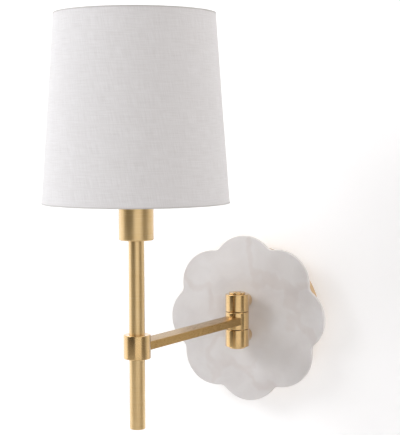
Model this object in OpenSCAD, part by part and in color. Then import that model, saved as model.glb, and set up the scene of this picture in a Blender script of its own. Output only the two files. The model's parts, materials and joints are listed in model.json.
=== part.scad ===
// Swing arm wall sconce: scalloped stone plate, three-barrel hinge, flat arm, round stem and drum shade.
// Units are millimetres. The wall is the plane y = 0, the lamp stands out towards -Y and +Z is up.
// The origin is the centre of the mounting strap's back face, on the wall.

/* [Wall canopy] */
// Outside diameter of the brass canopy pan
pan_d = 152.4; // [125:0.2:165]
// Depth of the pan, from the wall to its front face
pan_h = 22; // [18:0.5:30]
// Sheet thickness of the pan
pan_t = 1.4; // [0.8:0.1:2.5]
// Thickness of the felt pad between the pan and the stone
pad_t = 1; // [0.5:0.1:2]

/* [Mounting strap] */
// Width of the steel strap
strap_w = 20; // [16:0.5:26]
// Thickness of the strap
strap_t = 2; // [1.5:0.1:3]
// Smaller screw spacing of the wall boxes that the strap fits
box_pitch_min = 69.85; // [60:0.05:75]
// Larger screw spacing of the wall boxes that the strap fits
box_pitch_max = 88.9; // [84:0.05:95]
// Width of the two slots for the box screws
slot_w = 4.6; // [4:0.1:6]
// Diameter of the wiring hole in the middle of the strap
strap_hole_d = 10.5; // [8:0.5:14]

/* [Stone plate] */
// Overall width of the stone across opposite lobes
plate_d = 182.6; // [165:0.5:220]
// Number of lobes round the edge
lobe_count = 8; // [6:1:12]
// Diameter of each lobe
lobe_d = 73.5; // [60:0.5:90]
// Thickness of the stone
plate_t = 6.4; // [5:0.1:12]
// Rounding of the stone's edges
plate_edge = 1.5; // [0.5:0.1:2.2]
// Rounding in the notch between two lobes
notch_r = 9; // [3:0.5:12]
// Turn of the lobes from the horizontal, in degrees
lobe_turn = -2.7; // [-5:0.1:5]
// Distance that the stone hangs below the middle of the hinge
plate_drop = 1.6; // [0:0.1:3]

/* [Hinge] */
// Distance from the face of the stone to the hinge axis
hinge_reach = 22.5; // [20:0.5:40]
// Diameter of the three hinge barrels
barrel_d = 25.7; // [22.5:0.1:34]
// Height of each barrel
barrel_h = 18.6; // [18:0.2:26]
// Gap between two barrels, which a washer fills
seam = 0.5; // [0.3:0.1:1]
// Diameter of the hollow hinge pin
pin_d = 10; // [9:0.2:11]
// Bore of the hinge pin, for the leads
pin_bore = 7; // [6:0.2:8]
// Diameter of the caps on the ends of the pin
cap_d = 18; // [16.6:0.1:21]
// Height that a cap stands above its barrel
cap_h = 2.6; // [1.8:0.1:5]
// Diameter of the two posts that hold the hinge
post_d = 16.6; // [14:0.1:17]
// Bore of the posts, for the leads
post_bore = 6; // [5:0.5:7]
// Swing of the arm to each side of square to the wall, in degrees
swing = 78; // [30:1:80]
// Angle that the arm rests at, off square to the wall, in degrees
rest_turn = 6.4; // [-30:0.1:30]

/* [Arm] */
// Distance from the hinge axis to the axis of the stem
arm_len = 188.5; // [140:0.5:260]
// Width of the flat arm
arm_w = 19.3; // [16:0.1:22]
// Height of the flat arm
arm_h = 8.3; // [7:0.1:12]
// Wall of the arm tube
arm_t = 1.4; // [1:0.1:1.6]
// Diameter of the collar round the stem
collar_d = 26.1; // [24:0.1:34]
// Height of the collar
collar_h = 23; // [18:0.5:34]

/* [Stem] */
// Diameter of the stem
stem_d = 15; // [13:0.2:17]
// Wall of the stem tube
stem_t = 1.25; // [1:0.05:1.6]
// Length of the stem below the axis of the arm
stem_below = 79.4; // [40:0.2:140]
// Length of the stem above the axis of the arm, up to the cup
stem_above = 101.8; // [60:0.2:180]

/* [Lampholder] */
// Diameter of the brass cup
cup_d = 33.2; // [32.6:0.2:36]
// Height of the cup
cup_h = 48; // [44:0.5:60]
// Sheet thickness of the cup
cup_t = 1; // [0.6:0.1:1.2]
// Outside diameter of the lampholder's threaded skirt
skirt_d = 35; // [34.6:0.2:38]
// Height of the threaded skirt above the cup
skirt_h = 19; // [16:0.5:26]

/* [Shade] */
// Diameter of the shade at the top
shade_top_d = 152.4; // [120:0.2:200]
// Diameter of the shade at the bottom
shade_bottom_d = 177.8; // [130:0.2:185]
// Height of the shade
shade_h = 177.8; // [140:0.2:220]
// Height of the shade's bottom edge above the axis of the arm
shade_lift = 136.7; // [110:0.1:230]
// Thickness of the linen
linen_t = 0.6; // [0.3:0.1:1]
// Thickness of the stiff lining
lining_t = 0.4; // [0.2:0.1:0.8]
// Diameter of the wire rings in the shade's rims
rim_wire_d = 2.4; // [1.6:0.1:3]
// Height of the rim tape on the outside of the shade
hem_h = 1.2; // [0.8:0.2:8]

/* [Bulb] */
// Diameter of the bulb
bulb_d = 60; // [45:0.5:62]
// Overall length of the bulb with its base
bulb_len = 108; // [98:0.5:118]

/* [Hidden] */
$fn = 96;
EPS = 0.01;

// Places along the depth, from the wall out
pan_front = -pan_h;
stone_back = pan_front - pad_t;
stone_front = stone_back - plate_t;
hinge_y = stone_front - hinge_reach;

// Stone outline
lobe_r = lobe_d / 2;
lobe_c = plate_d / 2 - lobe_r;
lobe_step = 360 / lobe_count;
notch_in = lobe_c * sin(lobe_step / 2);
notch_at = lobe_c * cos(lobe_step / 2) + sqrt(pow(lobe_r + notch_r, 2) - pow(notch_in, 2));
web_step = 0.55 * plate_edge;

// Hinge
barrel_r = barrel_d / 2;
barrel_pitch = barrel_h + seam;
hinge_top = barrel_pitch + barrel_h / 2;
pin_run = 0.05;
pin_r = pin_d / 2;
pin_end = hinge_top + cap_h - 1.4;
pin_slot_y = 2.1;
barrel_bore_r = pin_r + pin_run;
edge_r = 0.7;
washer_r = pin_r + 2.4;
tension_t = 0.9;
tension_well = 1;
stop_r = 1;
stop_at = (washer_r + barrel_r) / 2;
stop_h = 2.6;
stop_half = swing + asin(stop_r / stop_at) + 1;
lead_hole_r = 2.7;

// Posts
post_r = post_d / 2;
post_washer_t = 0.5;
shank_d = 9.6;
shank_r = shank_d / 2;
shank_gap = 0.3;
nut_h = 3.6;
nut_af = 14;
nut_washer_t = 1.2;
nut_face = pan_front + pan_t + nut_washer_t;
shank_end = nut_face + nut_h + 1.2;

// Strap
slot_pitch = (box_pitch_max + box_pitch_min) / 2;
slot_len = (box_pitch_max - box_pitch_min) / 2 + slot_w;
ear_depth = pan_h - 8;
ear_gap = 1.6;
pan_r = pan_d / 2;
ear_z = sqrt(pow(pan_r - pan_t, 2) - pow(strap_w / 2, 2)) - ear_gap;
side_screw_y = -ear_depth + 4.5;
side_screw_r = 2;
side_head_r = 3.6;
side_head_h = 2.2;
ground_z = -27;
ground_x = 0;

// Head, measured up from the axis of the arm
stem_r = stem_d / 2;
stem_in = stem_r - stem_t;
foot_t = 1.6;
foot_plug = 8;
nipple_r = 4.8;
nipple_bore = 3.4;
bush_h = 12;
cup_z = stem_above;
cup_r = cup_d / 2;
cup_floor = 1.4;
cup_top = cup_z + cup_h;
head_nut_h = 3.4;
holder_r = cup_r - cup_t - 0.5;
holder_z = cup_z + cup_floor + head_nut_h + 11;
flange_t = 2.6;
skirt_r = skirt_d / 2;
skirt_z = cup_top + flange_t;
holder_top = skirt_z + skirt_h;
flange_r = skirt_r + 0.9;
shell_r = 13.9;
shell_t = 0.35;
base_r = 13.2;
base_len = 25;
base_z = holder_top - base_len - 2;
tip_h = 1.8;
tip_r = 4.8;
tab_t = 0.6;
shell_floor = base_z - tip_h - tab_t;
bulb_z0 = base_z - tip_h;
bulb_top = bulb_z0 + bulb_len;
bulb_r = bulb_d / 2;
bulb_mid = bulb_top - bulb_r;
neck_r = base_r + 0.2;
glass_t = 0.8;
neck_z = base_z + base_len + 0.2;

// Shade
shade_z = shade_lift;
shade_top_z = shade_z + shade_h;
shade_top_r = shade_top_d / 2;
shade_bottom_r = shade_bottom_d / 2;
hem_t = 0.35;
glue = 0.05;
linen_in = hem_t + linen_t;
lining_in = linen_in + glue + lining_t;
ring_wire_r = rim_wire_d / 2;
ring_in = lining_in + glue + ring_wire_r;
ring_low_z = shade_z + ring_wire_r + 0.4;
ring_high_z = shade_top_z - ring_wire_r - 0.4;
fitter_t = 1.5;
fitter_z = skirt_z + fitter_t / 2;
fitter_in = skirt_r + 0.2;
fitter_out = flange_r + 3.6;
spoke_r = 1.2;
clamp_h = 6;

// Leads
lead_r = 1.1;
lead_off = 1.3;
lead_bend = 4;
lead_sides = 8;
strip_x = 40;
splice_y = -pan_h / 2 - 0.5;

BRASS = "#C9A45E";
BRASS_DARK = "#A98648";
STEEL = "#B9BCC0";
STONE = "#E6E1DC";

// ---------- helpers ----------

// The arm's own frame: its origin is on the hinge axis and the arm runs along -Y
module at_hinge() { translate([0, hinge_y, 0]) rotate([0, 0, -rest_turn]) children(); }

// The stem's own frame: its Z axis is the axis of the stem
module at_stem() { at_hinge() translate([0, -arm_len, 0]) children(); }

// A hollow round bar between two heights, with both outer rims rounded
module turned_ring(r_out, r_in, z0, z1, round_r) {
    rotate_extrude()
        difference() {
            union() {
                translate([r_in, z0]) square([r_out - round_r - r_in, z1 - z0]);
                translate([r_in, z0 + round_r]) square([r_out - r_in, z1 - z0 - 2 * round_r]);
                for (z = [z0 + round_r, z1 - round_r])
                    translate([r_out - round_r, z]) circle(r = round_r, $fn = 32);
            }
            translate([-r_out, z0 - 1]) square([r_out + r_in, z1 - z0 + 2]);
        }
}

// A plain ring between two heights
module ring(r_out, r_in, z0, z1) {
    translate([0, 0, z0]) difference() {
        cylinder(r = r_out, h = z1 - z0);
        translate([0, 0, -1]) cylinder(r = r_in, h = z1 - z0 + 2);
    }
}

// A cylinder along Y between two depths
module along_y(r, y0, y1) {
    translate([0, y1, 0]) rotate([90, 0, 0]) cylinder(r = r, h = y1 - y0);
}

// A rectangle with rounded corners, centred
module soft_rect(w, h, r) {
    square([w - 2 * r, h], center = true);
    square([w, h - 2 * r], center = true);
    for (x = [-1, 1], y = [-1, 1])
        translate([x * (w / 2 - r), y * (h / 2 - r)]) circle(r = r, $fn = 24);
}

// A thin wall that follows the shade's slope: in1 and in2 are depths below its outer face
module shade_wall(z0, z1, in1, in2) {
    rotate_extrude()
        polygon([
            [shade_r(z0) - in2, z0], [shade_r(z0) - in1, z0],
            [shade_r(z1) - in1, z1], [shade_r(z1) - in2, z1]
        ]);
}

// Outer radius of the shade at height z
function shade_r(z) =
    shade_bottom_r + (shade_top_r - shade_bottom_r) * (z - shade_z) / shade_h;

// A torus of wire
module wire_ring(r, z, wire_r) {
    translate([0, 0, z]) rotate_extrude() translate([r, 0]) circle(r = wire_r, $fn = 32);
}

// ---------- swept leads ----------

function unit(v) = v / norm(v);

// Points round one corner b between a and c, as an arc that starts and ends a distance d away
function corner(a, b, c, d, n = 6) =
    let (p = b + d * unit(a - b), q = b + d * unit(c - b))
    [for (i = [0 : n]) let (t = i / n) pow(1 - t, 2) * p + 2 * t * (1 - t) * b + t * t * q];

// A path with its inner corners rounded
function soft_path(pts, d) = concat(
    [pts[0]],
    [for (i = [1 : len(pts) - 2]) each corner(pts[i - 1], pts[i], pts[i + 1], d)],
    [pts[len(pts) - 1]]
);

// Direction of the path at point i
function tangent(p, i) = unit(p[min(i + 1, len(p) - 1)] - p[max(i - 1, 0)]);

// Side vector of each ring, carried along the path so that the tube doesn't twist
function sides_of(p, i, prev) =
    let (t = tangent(p, i), s = unit(prev - (prev * t) * t))
    i == len(p) - 1 ? [s] : concat([s], sides_of(p, i + 1, s));

function first_side(t) = abs(t[2]) > 0.9 ? [1, 0, 0] : [0, 0, 1];

// A round tube of radius r along the path p
module lead(p, r) {
    n = lead_sides;
    s = sides_of(p, 0, first_side(tangent(p, 0)));
    pts = [
        for (i = [0 : len(p) - 1])
            let (t = tangent(p, i), u = s[i], v = cross(t, u))
            for (k = [0 : n - 1])
                p[i] + r * (cos(360 * k / n) * u + sin(360 * k / n) * v)
    ];
    sides = [
        for (i = [0 : len(p) - 2], k = [0 : n - 1])
            [i * n + k, (i + 1) * n + k, (i + 1) * n + (k + 1) % n, i * n + (k + 1) % n]
    ];
    last = (len(p) - 1) * n;
    ends = [[for (k = [0 : n - 1]) k], [for (k = [n - 1 : -1 : 0]) last + k]];
    polyhedron(points = pts, faces = concat(sides, ends), convexity = 8);
}

// ---------- wall side ----------

module mounting_strap() {
    color(STEEL) difference() {
        union() {
            translate([-strap_w / 2, -strap_t, -ear_z]) cube([strap_w, strap_t, 2 * ear_z]);
            for (s = [-1, 1])
                translate([-strap_w / 2, -ear_depth, s > 0 ? ear_z - strap_t : -ear_z])
                    cube([strap_w, ear_depth, strap_t]);
        }
        for (s = [-1, 1]) {
            translate([0, 0, s * slot_pitch / 2]) {
                for (e = [-1, 1])
                    translate([0, 0, e * (slot_len - slot_w) / 2]) along_y(slot_w / 2, -strap_t - 1, 1);
                translate([-slot_w / 2, -strap_t - 1, -(slot_len - slot_w) / 2])
                    cube([slot_w, strap_t + 2, slot_len - slot_w]);
            }
            translate([0, side_screw_y, s > 0 ? ear_z - strap_t - 1 : -ear_z - 1])
                cylinder(r = side_screw_r, h = strap_t + 2);
        }
        along_y(strap_hole_d / 2, -strap_t - 1, 1);
        translate([ground_x, 0, ground_z]) along_y(1.9, -strap_t - 1, 1);
    }
}

module ground_screw() {
    color("#6FA35A") translate([ground_x, 0, ground_z]) {
        along_y(1.9, -strap_t - 0.8, -0.2);
        difference() {
            along_y(3.6, -strap_t - 2.9, -strap_t - 0.8);
            translate([-5, -strap_t - 4, -0.5]) cube([10, 2, 1]);
        }
    }
}

module ground_lead() {
    eye = [ground_x, -strap_t - 0.4, ground_z];
    stud = [0, nut_face + nut_h + 0.5, -barrel_pitch];
    color("#3E7D4B") {
        difference() {
            translate(eye) along_y(4.6, -0.4, 0.4);
            translate(eye) along_y(1.95, -1, 1);
        }
        lead(soft_path([
            eye + [4.4, -0.55, 0], eye + [13, -3, 2], stud + [14, 1, 0], stud + [shank_r + 2.6, 0.5, 0]
        ], 3), 0.9);
        difference() {
            translate(stud) along_y(shank_r + 3, -0.45, 0.45);
            translate(stud) along_y(shank_r + 0.05, -1, 1);
        }
    }
}

module canopy_pan() {
    color(BRASS) difference() {
        rotate([90, 0, 0]) difference() {
            turned_ring(pan_r, 0, -2, pan_h, 1.6);
            translate([0, 0, -3]) cylinder(r = pan_r + 1, h = 3);
            translate([0, 0, -3]) cylinder(r = pan_r - pan_t, h = pan_h - pan_t + 3);
        }
        for (s = [-1, 1]) {
            translate([0, 0, s * barrel_pitch]) along_y(shank_r + shank_gap, -pan_h - 1, -1);
            translate([0, side_screw_y, s * pan_r - 6]) cylinder(r = side_screw_r + 0.3, h = 12);
        }
    }
}

module side_screws() {
    color(BRASS_DARK) for (s = [0, 180])
        rotate([0, s, 0]) translate([0, side_screw_y, 0]) {
            translate([0, 0, ear_z - strap_t - 1.5])
                cylinder(r = side_screw_r - 0.02, h = pan_r - ear_z + strap_t + 2.1);
            difference() {
                turned_ring(side_head_r, 0, pan_r + 0.1, pan_r + 0.1 + side_head_h, 0.6);
                translate([-side_head_r - 1, -0.5, pan_r + side_head_h - 0.9])
                    cube([2 * side_head_r + 2, 1, 3]);
            }
        }
}

module felt_pad() {
    pad_r = pan_r - 4;
    color("#3B3A3A") difference() {
        along_y(pad_r, stone_back + 0.05, pan_front - 0.05);
        for (s = [-1, 1])
            translate([0, 0, s * barrel_pitch]) along_y(shank_r + shank_gap, stone_back - 1, pan_front + 1);
    }
}

// One lobe of the stone: a disc with both its rims rounded
module lobe() {
    rotate([90, 0, 0]) turned_ring(lobe_r, 0, -stone_back, -stone_front, plate_edge);
}

module stone_plate() {
    color(STONE) difference() {
        translate([0, 0, -plate_drop]) rotate([0, lobe_turn, 0]) union() {
            for (i = [0 : lobe_count - 1])
                rotate([0, i * lobe_step, 0]) translate([lobe_c, 0, 0]) lobe();
            along_y(lobe_c * cos(lobe_step / 2) + 6, stone_front, stone_back);
            for (i = [0 : lobe_count - 1])
                rotate([0, (i + 0.5) * lobe_step, 0]) notch_fill();
        }
        for (s = [-1, 1])
            translate([0, 0, s * barrel_pitch])
                along_y(shank_r + shank_gap, stone_front - 1, stone_back + 1);
    }
}

// The web that rounds the notch between two lobes. Its sides run towards the middles of both lobes
module notch_fill() {
    lobe_x = lobe_c * cos(lobe_step / 2);
    in_part = 0.865 * lobe_r / (lobe_r + notch_r);
    in_x = lobe_x + in_part * (notch_at - lobe_x);
    in_z = (1 - in_part) * notch_in;
    translate([0, stone_back - web_step, 0]) rotate([90, 0, 0])
        linear_extrude(height = plate_t - 2 * web_step)
            difference() {
                polygon([[lobe_x, 0], [in_x, in_z], [notch_at, 0], [in_x, -in_z]]);
                translate([notch_at - 0.3, 0]) circle(r = notch_r, $fn = 48);
            }
}

module post_washers() {
    color("#DDDAD3") for (s = [-1, 1])
        translate([0, 0, s * barrel_pitch]) difference() {
            along_y(post_r - 0.4, stone_front - post_washer_t + 0.05, stone_front - 0.05);
            along_y(shank_r + shank_gap, stone_front - 2, stone_front + 1);
        }
}

// A round post, coped to its barrel, with a threaded shank through the stone and the pan
module post() {
    difference() {
        union() {
            along_y(post_r, hinge_y, stone_front - post_washer_t);
            along_y(shank_r, hinge_y, shank_end);
        }
        along_y(post_bore / 2, hinge_y - 1, shank_end + 1);
        translate([0, hinge_y, -barrel_h]) cylinder(r = barrel_r, h = 2 * barrel_h);
    }
}

module post_upper() { color(BRASS) translate([0, 0, barrel_pitch]) post(); }
module post_lower() { color(BRASS) translate([0, 0, -barrel_pitch]) post(); }

module shank_washers() {
    color(STEEL) for (s = [-1, 1])
        translate([0, 0, s * barrel_pitch]) difference() {
            along_y(8.6, pan_front + pan_t, nut_face);
            along_y(shank_r + 0.2, pan_front, nut_face + 1);
        }
}

module shank_nuts() {
    color(BRASS_DARK) for (s = [-1, 1])
        translate([0, nut_face + nut_h, s * barrel_pitch]) rotate([90, 0, 0]) difference() {
            cylinder(d = nut_af / cos(30), h = nut_h, $fn = 6);
            translate([0, 0, -1]) cylinder(r = shank_r + 0.02, h = nut_h + 2);
        }
}

// ---------- hinge ----------

// A barrel of the hinge, centred on z = 0
module barrel() { turned_ring(barrel_r, barrel_bore_r, -barrel_h / 2, barrel_h / 2, edge_r); }

module barrel_upper() {
    color(BRASS) translate([0, hinge_y, barrel_pitch]) difference() {
        barrel();
        along_y(post_bore / 2, 0, barrel_r + 1);
        translate([0, 0, barrel_h / 2 - tension_well]) cylinder(r = washer_r + 0.3, h = tension_well + 1);
    }
}

module barrel_lower() {
    color(BRASS) translate([0, hinge_y, -barrel_pitch]) difference() {
        barrel();
        translate([0, stop_at, barrel_h / 2 - 3]) cylinder(r = stop_r + 0.02, h = 4, $fn = 32);
    }
}

module stop_pin() {
    color(STEEL) translate([0, hinge_y + stop_at, -barrel_pitch + barrel_h / 2 - 3])
        cylinder(r = stop_r, h = 3 + seam + stop_h, $fn = 32);
}

module hinge_pin() {
    color(BRASS_DARK) translate([0, hinge_y, 0]) difference() {
        cylinder(r = pin_r, h = 2 * pin_end, center = true);
        cylinder(r = pin_bore / 2, h = 2 * pin_end + 2, center = true);
        translate([0, 0, barrel_pitch]) along_y(post_bore / 2, 0, pin_r + 1);
        translate([-pin_r - 1, -pin_r - 1, -lead_hole_r - 0.3])
            cube([2 * pin_r + 2, pin_r + 1 + pin_slot_y, 2 * lead_hole_r + 0.6]);
    }
}

module seam_washers() {
    color("#E9E4D6") for (s = [-1, 1])
        translate([0, hinge_y, s * barrel_pitch / 2])
            ring(washer_r, pin_r + 0.1, -seam / 2 + 0.03, seam / 2 - 0.03);
}

module tension_washer() {
    color(STEEL) translate([0, hinge_y, hinge_top - tension_well])
        ring(washer_r, pin_r + 0.1, 0.02, tension_t);
}

// A cap that screws on the end of the pin: a stepped disc with a low dome
module cap() {
    cap_r = cap_d / 2;
    crown_r = cap_r * 0.46;
    difference() {
        union() {
            turned_ring(cap_r, 0, 0.02, cap_h - 0.5, 0.5);
            turned_ring(crown_r, 0, cap_h - 1.5, cap_h, 0.45);
        }
        translate([0, 0, -1]) cylinder(r = pin_r + 0.02, h = 1 + cap_h - 1.3);
    }
}

module cap_top() { color(BRASS) translate([0, hinge_y, hinge_top]) cap(); }
module cap_bottom() { color(BRASS) translate([0, hinge_y, -hinge_top]) mirror([0, 0, 1]) cap(); }

// ---------- leads on the wall side ----------

// From its connector in the canopy, through the upper post and down inside the hinge pin
module wall_lead(s) {
    rise = barrel_pitch;
    lead(soft_path([
        [s * strip_x, splice_y, 12], [s * strip_x, splice_y, 42], [s * 24, splice_y + 1, 40],
        [s * lead_off, shank_end + 5, rise], [s * lead_off, shank_end - 8, rise],
        [s * lead_off, hinge_y, rise], [s * lead_off, hinge_y, 4.4]
    ], lead_bend), lead_r);
}

module wall_lead_live() { color("#26262A") wall_lead(1); }
module wall_lead_neutral() { color("#F2F1EC") wall_lead(-1); }

module wire_connectors() {
    color("#D9822B") for (s = [-1, 1])
        translate([s * strip_x, splice_y, 0]) difference() {
            union() {
                cylinder(r1 = 3.4, r2 = 5, h = 18);
                translate([0, 0, 18]) cylinder(r = 5.4, h = 4);
            }
            translate([0, 0, 12]) cylinder(r = lead_r + 0.05, h = 20);
        }
}

// ---------- arm ----------

module barrel_middle() {
    color(BRASS) at_hinge() difference() {
        barrel();
        along_y(lead_hole_r, -barrel_r - 1, 0);
        translate([0, 0, -barrel_h / 2 - 1]) rotate([0, 0, 90 - stop_half])
            rotate_extrude(angle = 2 * stop_half)
                translate([stop_at - stop_r - 0.3, 0]) square([2 * stop_r + 0.6, stop_h + 1.4]);
    }
}

module arm_tube() {
    color(BRASS) at_hinge() difference() {
        rotate([90, 0, 0]) linear_extrude(height = arm_len) soft_rect(arm_w, arm_h, 0.9);
        rotate([90, 0, 0]) translate([0, 0, -1]) linear_extrude(height = arm_len + 2)
            soft_rect(arm_w - 2 * arm_t, arm_h - 2 * arm_t, 0.4);
        cylinder(r = barrel_r, h = 2 * arm_h, center = true);
        translate([0, -arm_len, 0]) cylinder(r = collar_d / 2, h = 2 * arm_h, center = true);
    }
}

module collar() {
    mouth = 0.6;
    color(BRASS) at_stem() difference() {
        turned_ring(collar_d / 2, stem_r + 0.02, -collar_h / 2, collar_h / 2, edge_r);
        for (s = [0, 180]) rotate([s, 0, 0])
            translate([0, 0, collar_h / 2 - mouth])
                cylinder(r1 = stem_r, r2 = stem_r + mouth + 0.02, h = mouth + EPS);
        along_y(nipple_r - 1, 0, collar_d);
        rotate([0, -90, 0]) cylinder(r = 2.5, h = collar_d);
    }
}

module collar_screw() {
    color(BRASS_DARK) at_stem() rotate([0, -90, 0]) difference() {
        translate([0, 0, stem_r + 0.05]) cylinder(r = 2.48, h = collar_d / 2 - stem_r - 0.6);
        translate([0, 0, collar_d / 2 - 3]) cylinder(r = 1.3, h = 4, $fn = 6);
    }
}

module cross_nipple() {
    color(BRASS_DARK) at_stem() difference() {
        along_y(nipple_r - 1.02, stem_in - 1.2, collar_d / 2 - 0.2);
        along_y(nipple_r - 2.1, stem_in - 3, collar_d / 2 + 2);
    }
}

// From inside the hinge pin, along the arm, up the stem and into the lampholder
module arm_lead(s) {
    x = s * lead_off;
    at_hinge() lead(soft_path([
        [x, 0, 3.6], [x, 0, 0], [x, -arm_len + 10, 0], [x, -arm_len, 0],
        [x, -arm_len, cup_z + 8], [s * 5, -arm_len, cup_z + 13], [s * 5, -arm_len, holder_z + 2.5]
    ], 3), lead_r);
}

module arm_lead_live() { color("#26262A") arm_lead(1); }
module arm_lead_neutral() { color("#F2F1EC") arm_lead(-1); }

// ---------- stem and lampholder ----------

module stem_tube() {
    color(BRASS) at_stem() difference() {
        ring(stem_r, stem_in, -stem_below + foot_t, cup_z);
        along_y(nipple_r - 1, 0, stem_r + 1);
    }
}

module stem_foot() {
    color(BRASS) at_stem() {
        turned_ring(stem_r, 0, -stem_below, -stem_below + foot_t, 0.5);
        translate([0, 0, -stem_below + foot_t]) cylinder(r = stem_in - 0.05, h = foot_plug);
    }
}

module stem_bush() {
    color(BRASS_DARK) at_stem() ring(stem_in - 0.02, nipple_r + 0.02, cup_z - bush_h, cup_z);
}

module head_nipple() {
    color(BRASS_DARK) at_stem()
        ring(nipple_r, nipple_bore, cup_z - bush_h, cup_z + cup_floor + head_nut_h + 0.8);
}

module socket_cup() {
    color(BRASS) at_stem() difference() {
        turned_ring(cup_r, nipple_r + 0.2, cup_z, cup_top + 3, 1);
        translate([0, 0, cup_z + cup_floor]) cylinder(r = cup_r - cup_t, h = cup_h + 4);
        translate([0, 0, cup_top]) cylinder(r = cup_r + 1, h = 4);
    }
}

module head_nut() {
    color(BRASS_DARK) at_stem() translate([0, 0, cup_z + cup_floor]) difference() {
        cylinder(d = nut_af / cos(30), h = head_nut_h, $fn = 6);
        translate([0, 0, -1]) cylinder(r = nipple_r + 0.02, h = head_nut_h + 2);
    }
}

module lampholder() {
    color("#2B2A2C") at_stem() difference() {
        union() {
            translate([0, 0, holder_z]) cylinder(r = holder_r, h = cup_top - holder_z);
            translate([0, 0, cup_top]) cylinder(r = flange_r, h = flange_t);
            translate([0, 0, skirt_z]) cylinder(r = skirt_r, h = skirt_h);
        }
        translate([0, 0, shell_floor]) cylinder(r = shell_r + 0.02, h = 2 * base_len);
        for (s = [-1, 1])
            translate([s * 5, 0, holder_z - 1]) cylinder(r = lead_r + 0.3, h = 5);
    }
}

module screw_shell() {
    color("#CFCBC2") at_stem() ring(shell_r, shell_r - shell_t, shell_floor + 1, holder_top - 0.6);
}

module centre_contact() {
    color(BRASS) at_stem() translate([0, 0, shell_floor]) {
        cylinder(r = 3.4, h = tab_t - 0.05);
        translate([2, -2, 0]) cube([7, 4, 0.4]);
    }
}

module shade_nut() {
    color("#2B2A2C") at_stem()
        turned_ring(flange_r + 2.4, skirt_r + 0.1, skirt_z + fitter_t, skirt_z + fitter_t + clamp_h, 0.6);
}

// ---------- shade ----------

module shade_fitter() {
    reach = shade_r(ring_low_z) - ring_in - ring_wire_r;
    drop = fitter_z - ring_low_z;
    run = reach - fitter_out + 1.2;
    color(STEEL) at_stem() {
        ring(fitter_out, fitter_in, skirt_z + 0.02, skirt_z + fitter_t);
        for (a = [90 : 120 : 330]) rotate([0, 0, a])
            translate([fitter_out - 1, 0, fitter_z]) rotate([0, 90 + atan2(drop, run), 0])
                cylinder(r = spoke_r, h = norm([run, drop]), $fn = 24);
    }
}

module shade_ring(z) { color(STEEL) at_stem() wire_ring(shade_r(z) - ring_in, z, ring_wire_r); }
module ring_bottom() { shade_ring(ring_low_z); }
module ring_top() { shade_ring(ring_high_z); }

module shade_lining() {
    color("#FBF9F4") at_stem() shade_wall(shade_z + hem_t, shade_top_z - hem_t, linen_in + glue, lining_in);
}

module shade_linen() {
    color("#F3F0EC") at_stem() shade_wall(shade_z + hem_t, shade_top_z - hem_t, hem_t, linen_in);
}

// A tape that covers the rim and turns onto the outside of the shade; s is 1 at the bottom, -1 at the top
module hem(rim, s) {
    lip = rim + s * hem_t / 2;
    end = rim + s * hem_h;
    rotate_extrude() polygon([
        [shade_r(rim), rim], [shade_r(end), end], [shade_r(end) - hem_t + glue, end],
        [shade_r(lip) - hem_t + glue, lip], [shade_r(lip) - lining_in, lip], [shade_r(rim) - lining_in, rim]
    ]);
}

module hem_bottom() { color("#EAE6E1") at_stem() hem(shade_z, 1); }
module hem_top() { color("#EAE6E1") at_stem() hem(shade_top_z, -1); }

// ---------- bulb ----------

module bulb_glass() {
    color("#F4F2EA", 0.5) at_stem() rotate_extrude() difference() {
        bulb_outline(0);
        bulb_outline(glass_t);
        translate([-100, -EPS]) square([100, 500]);
    }
}

// Half outline of the bulb, shrunk inwards by t
module bulb_outline(t) {
    swell = bulb_r - neck_r;
    blend_z = bulb_mid - bulb_r * 0.5;
    blend_x = bulb_r * cos(30);
    union() {
        translate([0, bulb_mid]) circle(r = bulb_r - t, $fn = 96);
        polygon([
            [0, neck_z + t], [neck_r - t, neck_z + t], [neck_r - t, neck_z + 4],
            [neck_r + swell * 0.3 - t, (neck_z + 4) * 0.45 + blend_z * 0.55],
            [blend_x - t, blend_z], [0, bulb_mid]
        ]);
    }
}

module bulb_base() {
    color("#C7C6C2") at_stem() difference() {
        turned_ring(base_r, 0, base_z, neck_z - 0.1, 0.8);
        translate([0, 0, base_z + 1]) cylinder(r = base_r - 0.8, h = base_len + 5);
    }
}

module bulb_tip() { color("#8E8B84") at_stem() turned_ring(tip_r, 0, bulb_z0, base_z - 0.05, 0.6); }

module bulb_stem() {
    color("#F7F7F5", 0.7) at_stem() translate([0, 0, neck_z + glass_t]) {
        cylinder(r1 = 6, r2 = 2.4, h = 30);
        translate([0, 0, 30]) cylinder(r = 2.4, h = 8);
    }
}

module bulb_filament() {
    color("#E8A94A") at_stem() for (a = [0 : 90 : 270]) rotate([0, 0, a]) translate([0, 0, neck_z + 26]) {
        translate([7, 0, 0]) cylinder(r = 0.9, h = 30, $fn = 24);
        translate([2.4, 0, 8]) rotate([0, 90, 0]) cylinder(r = 0.5, h = 4.6, $fn = 24);
    }
}

mounting_strap();
ground_screw();
ground_lead();
canopy_pan();
side_screws();
felt_pad();
stone_plate();
post_washers();
post_upper();
post_lower();
shank_washers();
shank_nuts();
barrel_upper();
barrel_lower();
hinge_pin();
seam_washers();
tension_washer();
stop_pin();
cap_top();
cap_bottom();
wall_lead_live();
wall_lead_neutral();
wire_connectors();
barrel_middle();
arm_tube();
collar();
collar_screw();
cross_nipple();
arm_lead_live();
arm_lead_neutral();
stem_tube();
stem_foot();
stem_bush();
head_nipple();
socket_cup();
head_nut();
lampholder();
screw_shell();
centre_contact();
shade_nut();
shade_fitter();
ring_bottom();
ring_top();
shade_lining();
shade_linen();
hem_bottom();
hem_top();
bulb_glass();
bulb_base();
bulb_tip();
bulb_stem();
bulb_filament();
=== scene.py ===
"""Swing arm wall sconce: the visual model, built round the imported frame.

Every piece takes its place from the frame's nodes. Units are metres, the lamp stands out from the wall
towards -Y, and +Z is up.
"""

from __future__ import annotations

import json
import logging
import math
from dataclasses import dataclass, field
from enum import Enum

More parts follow.
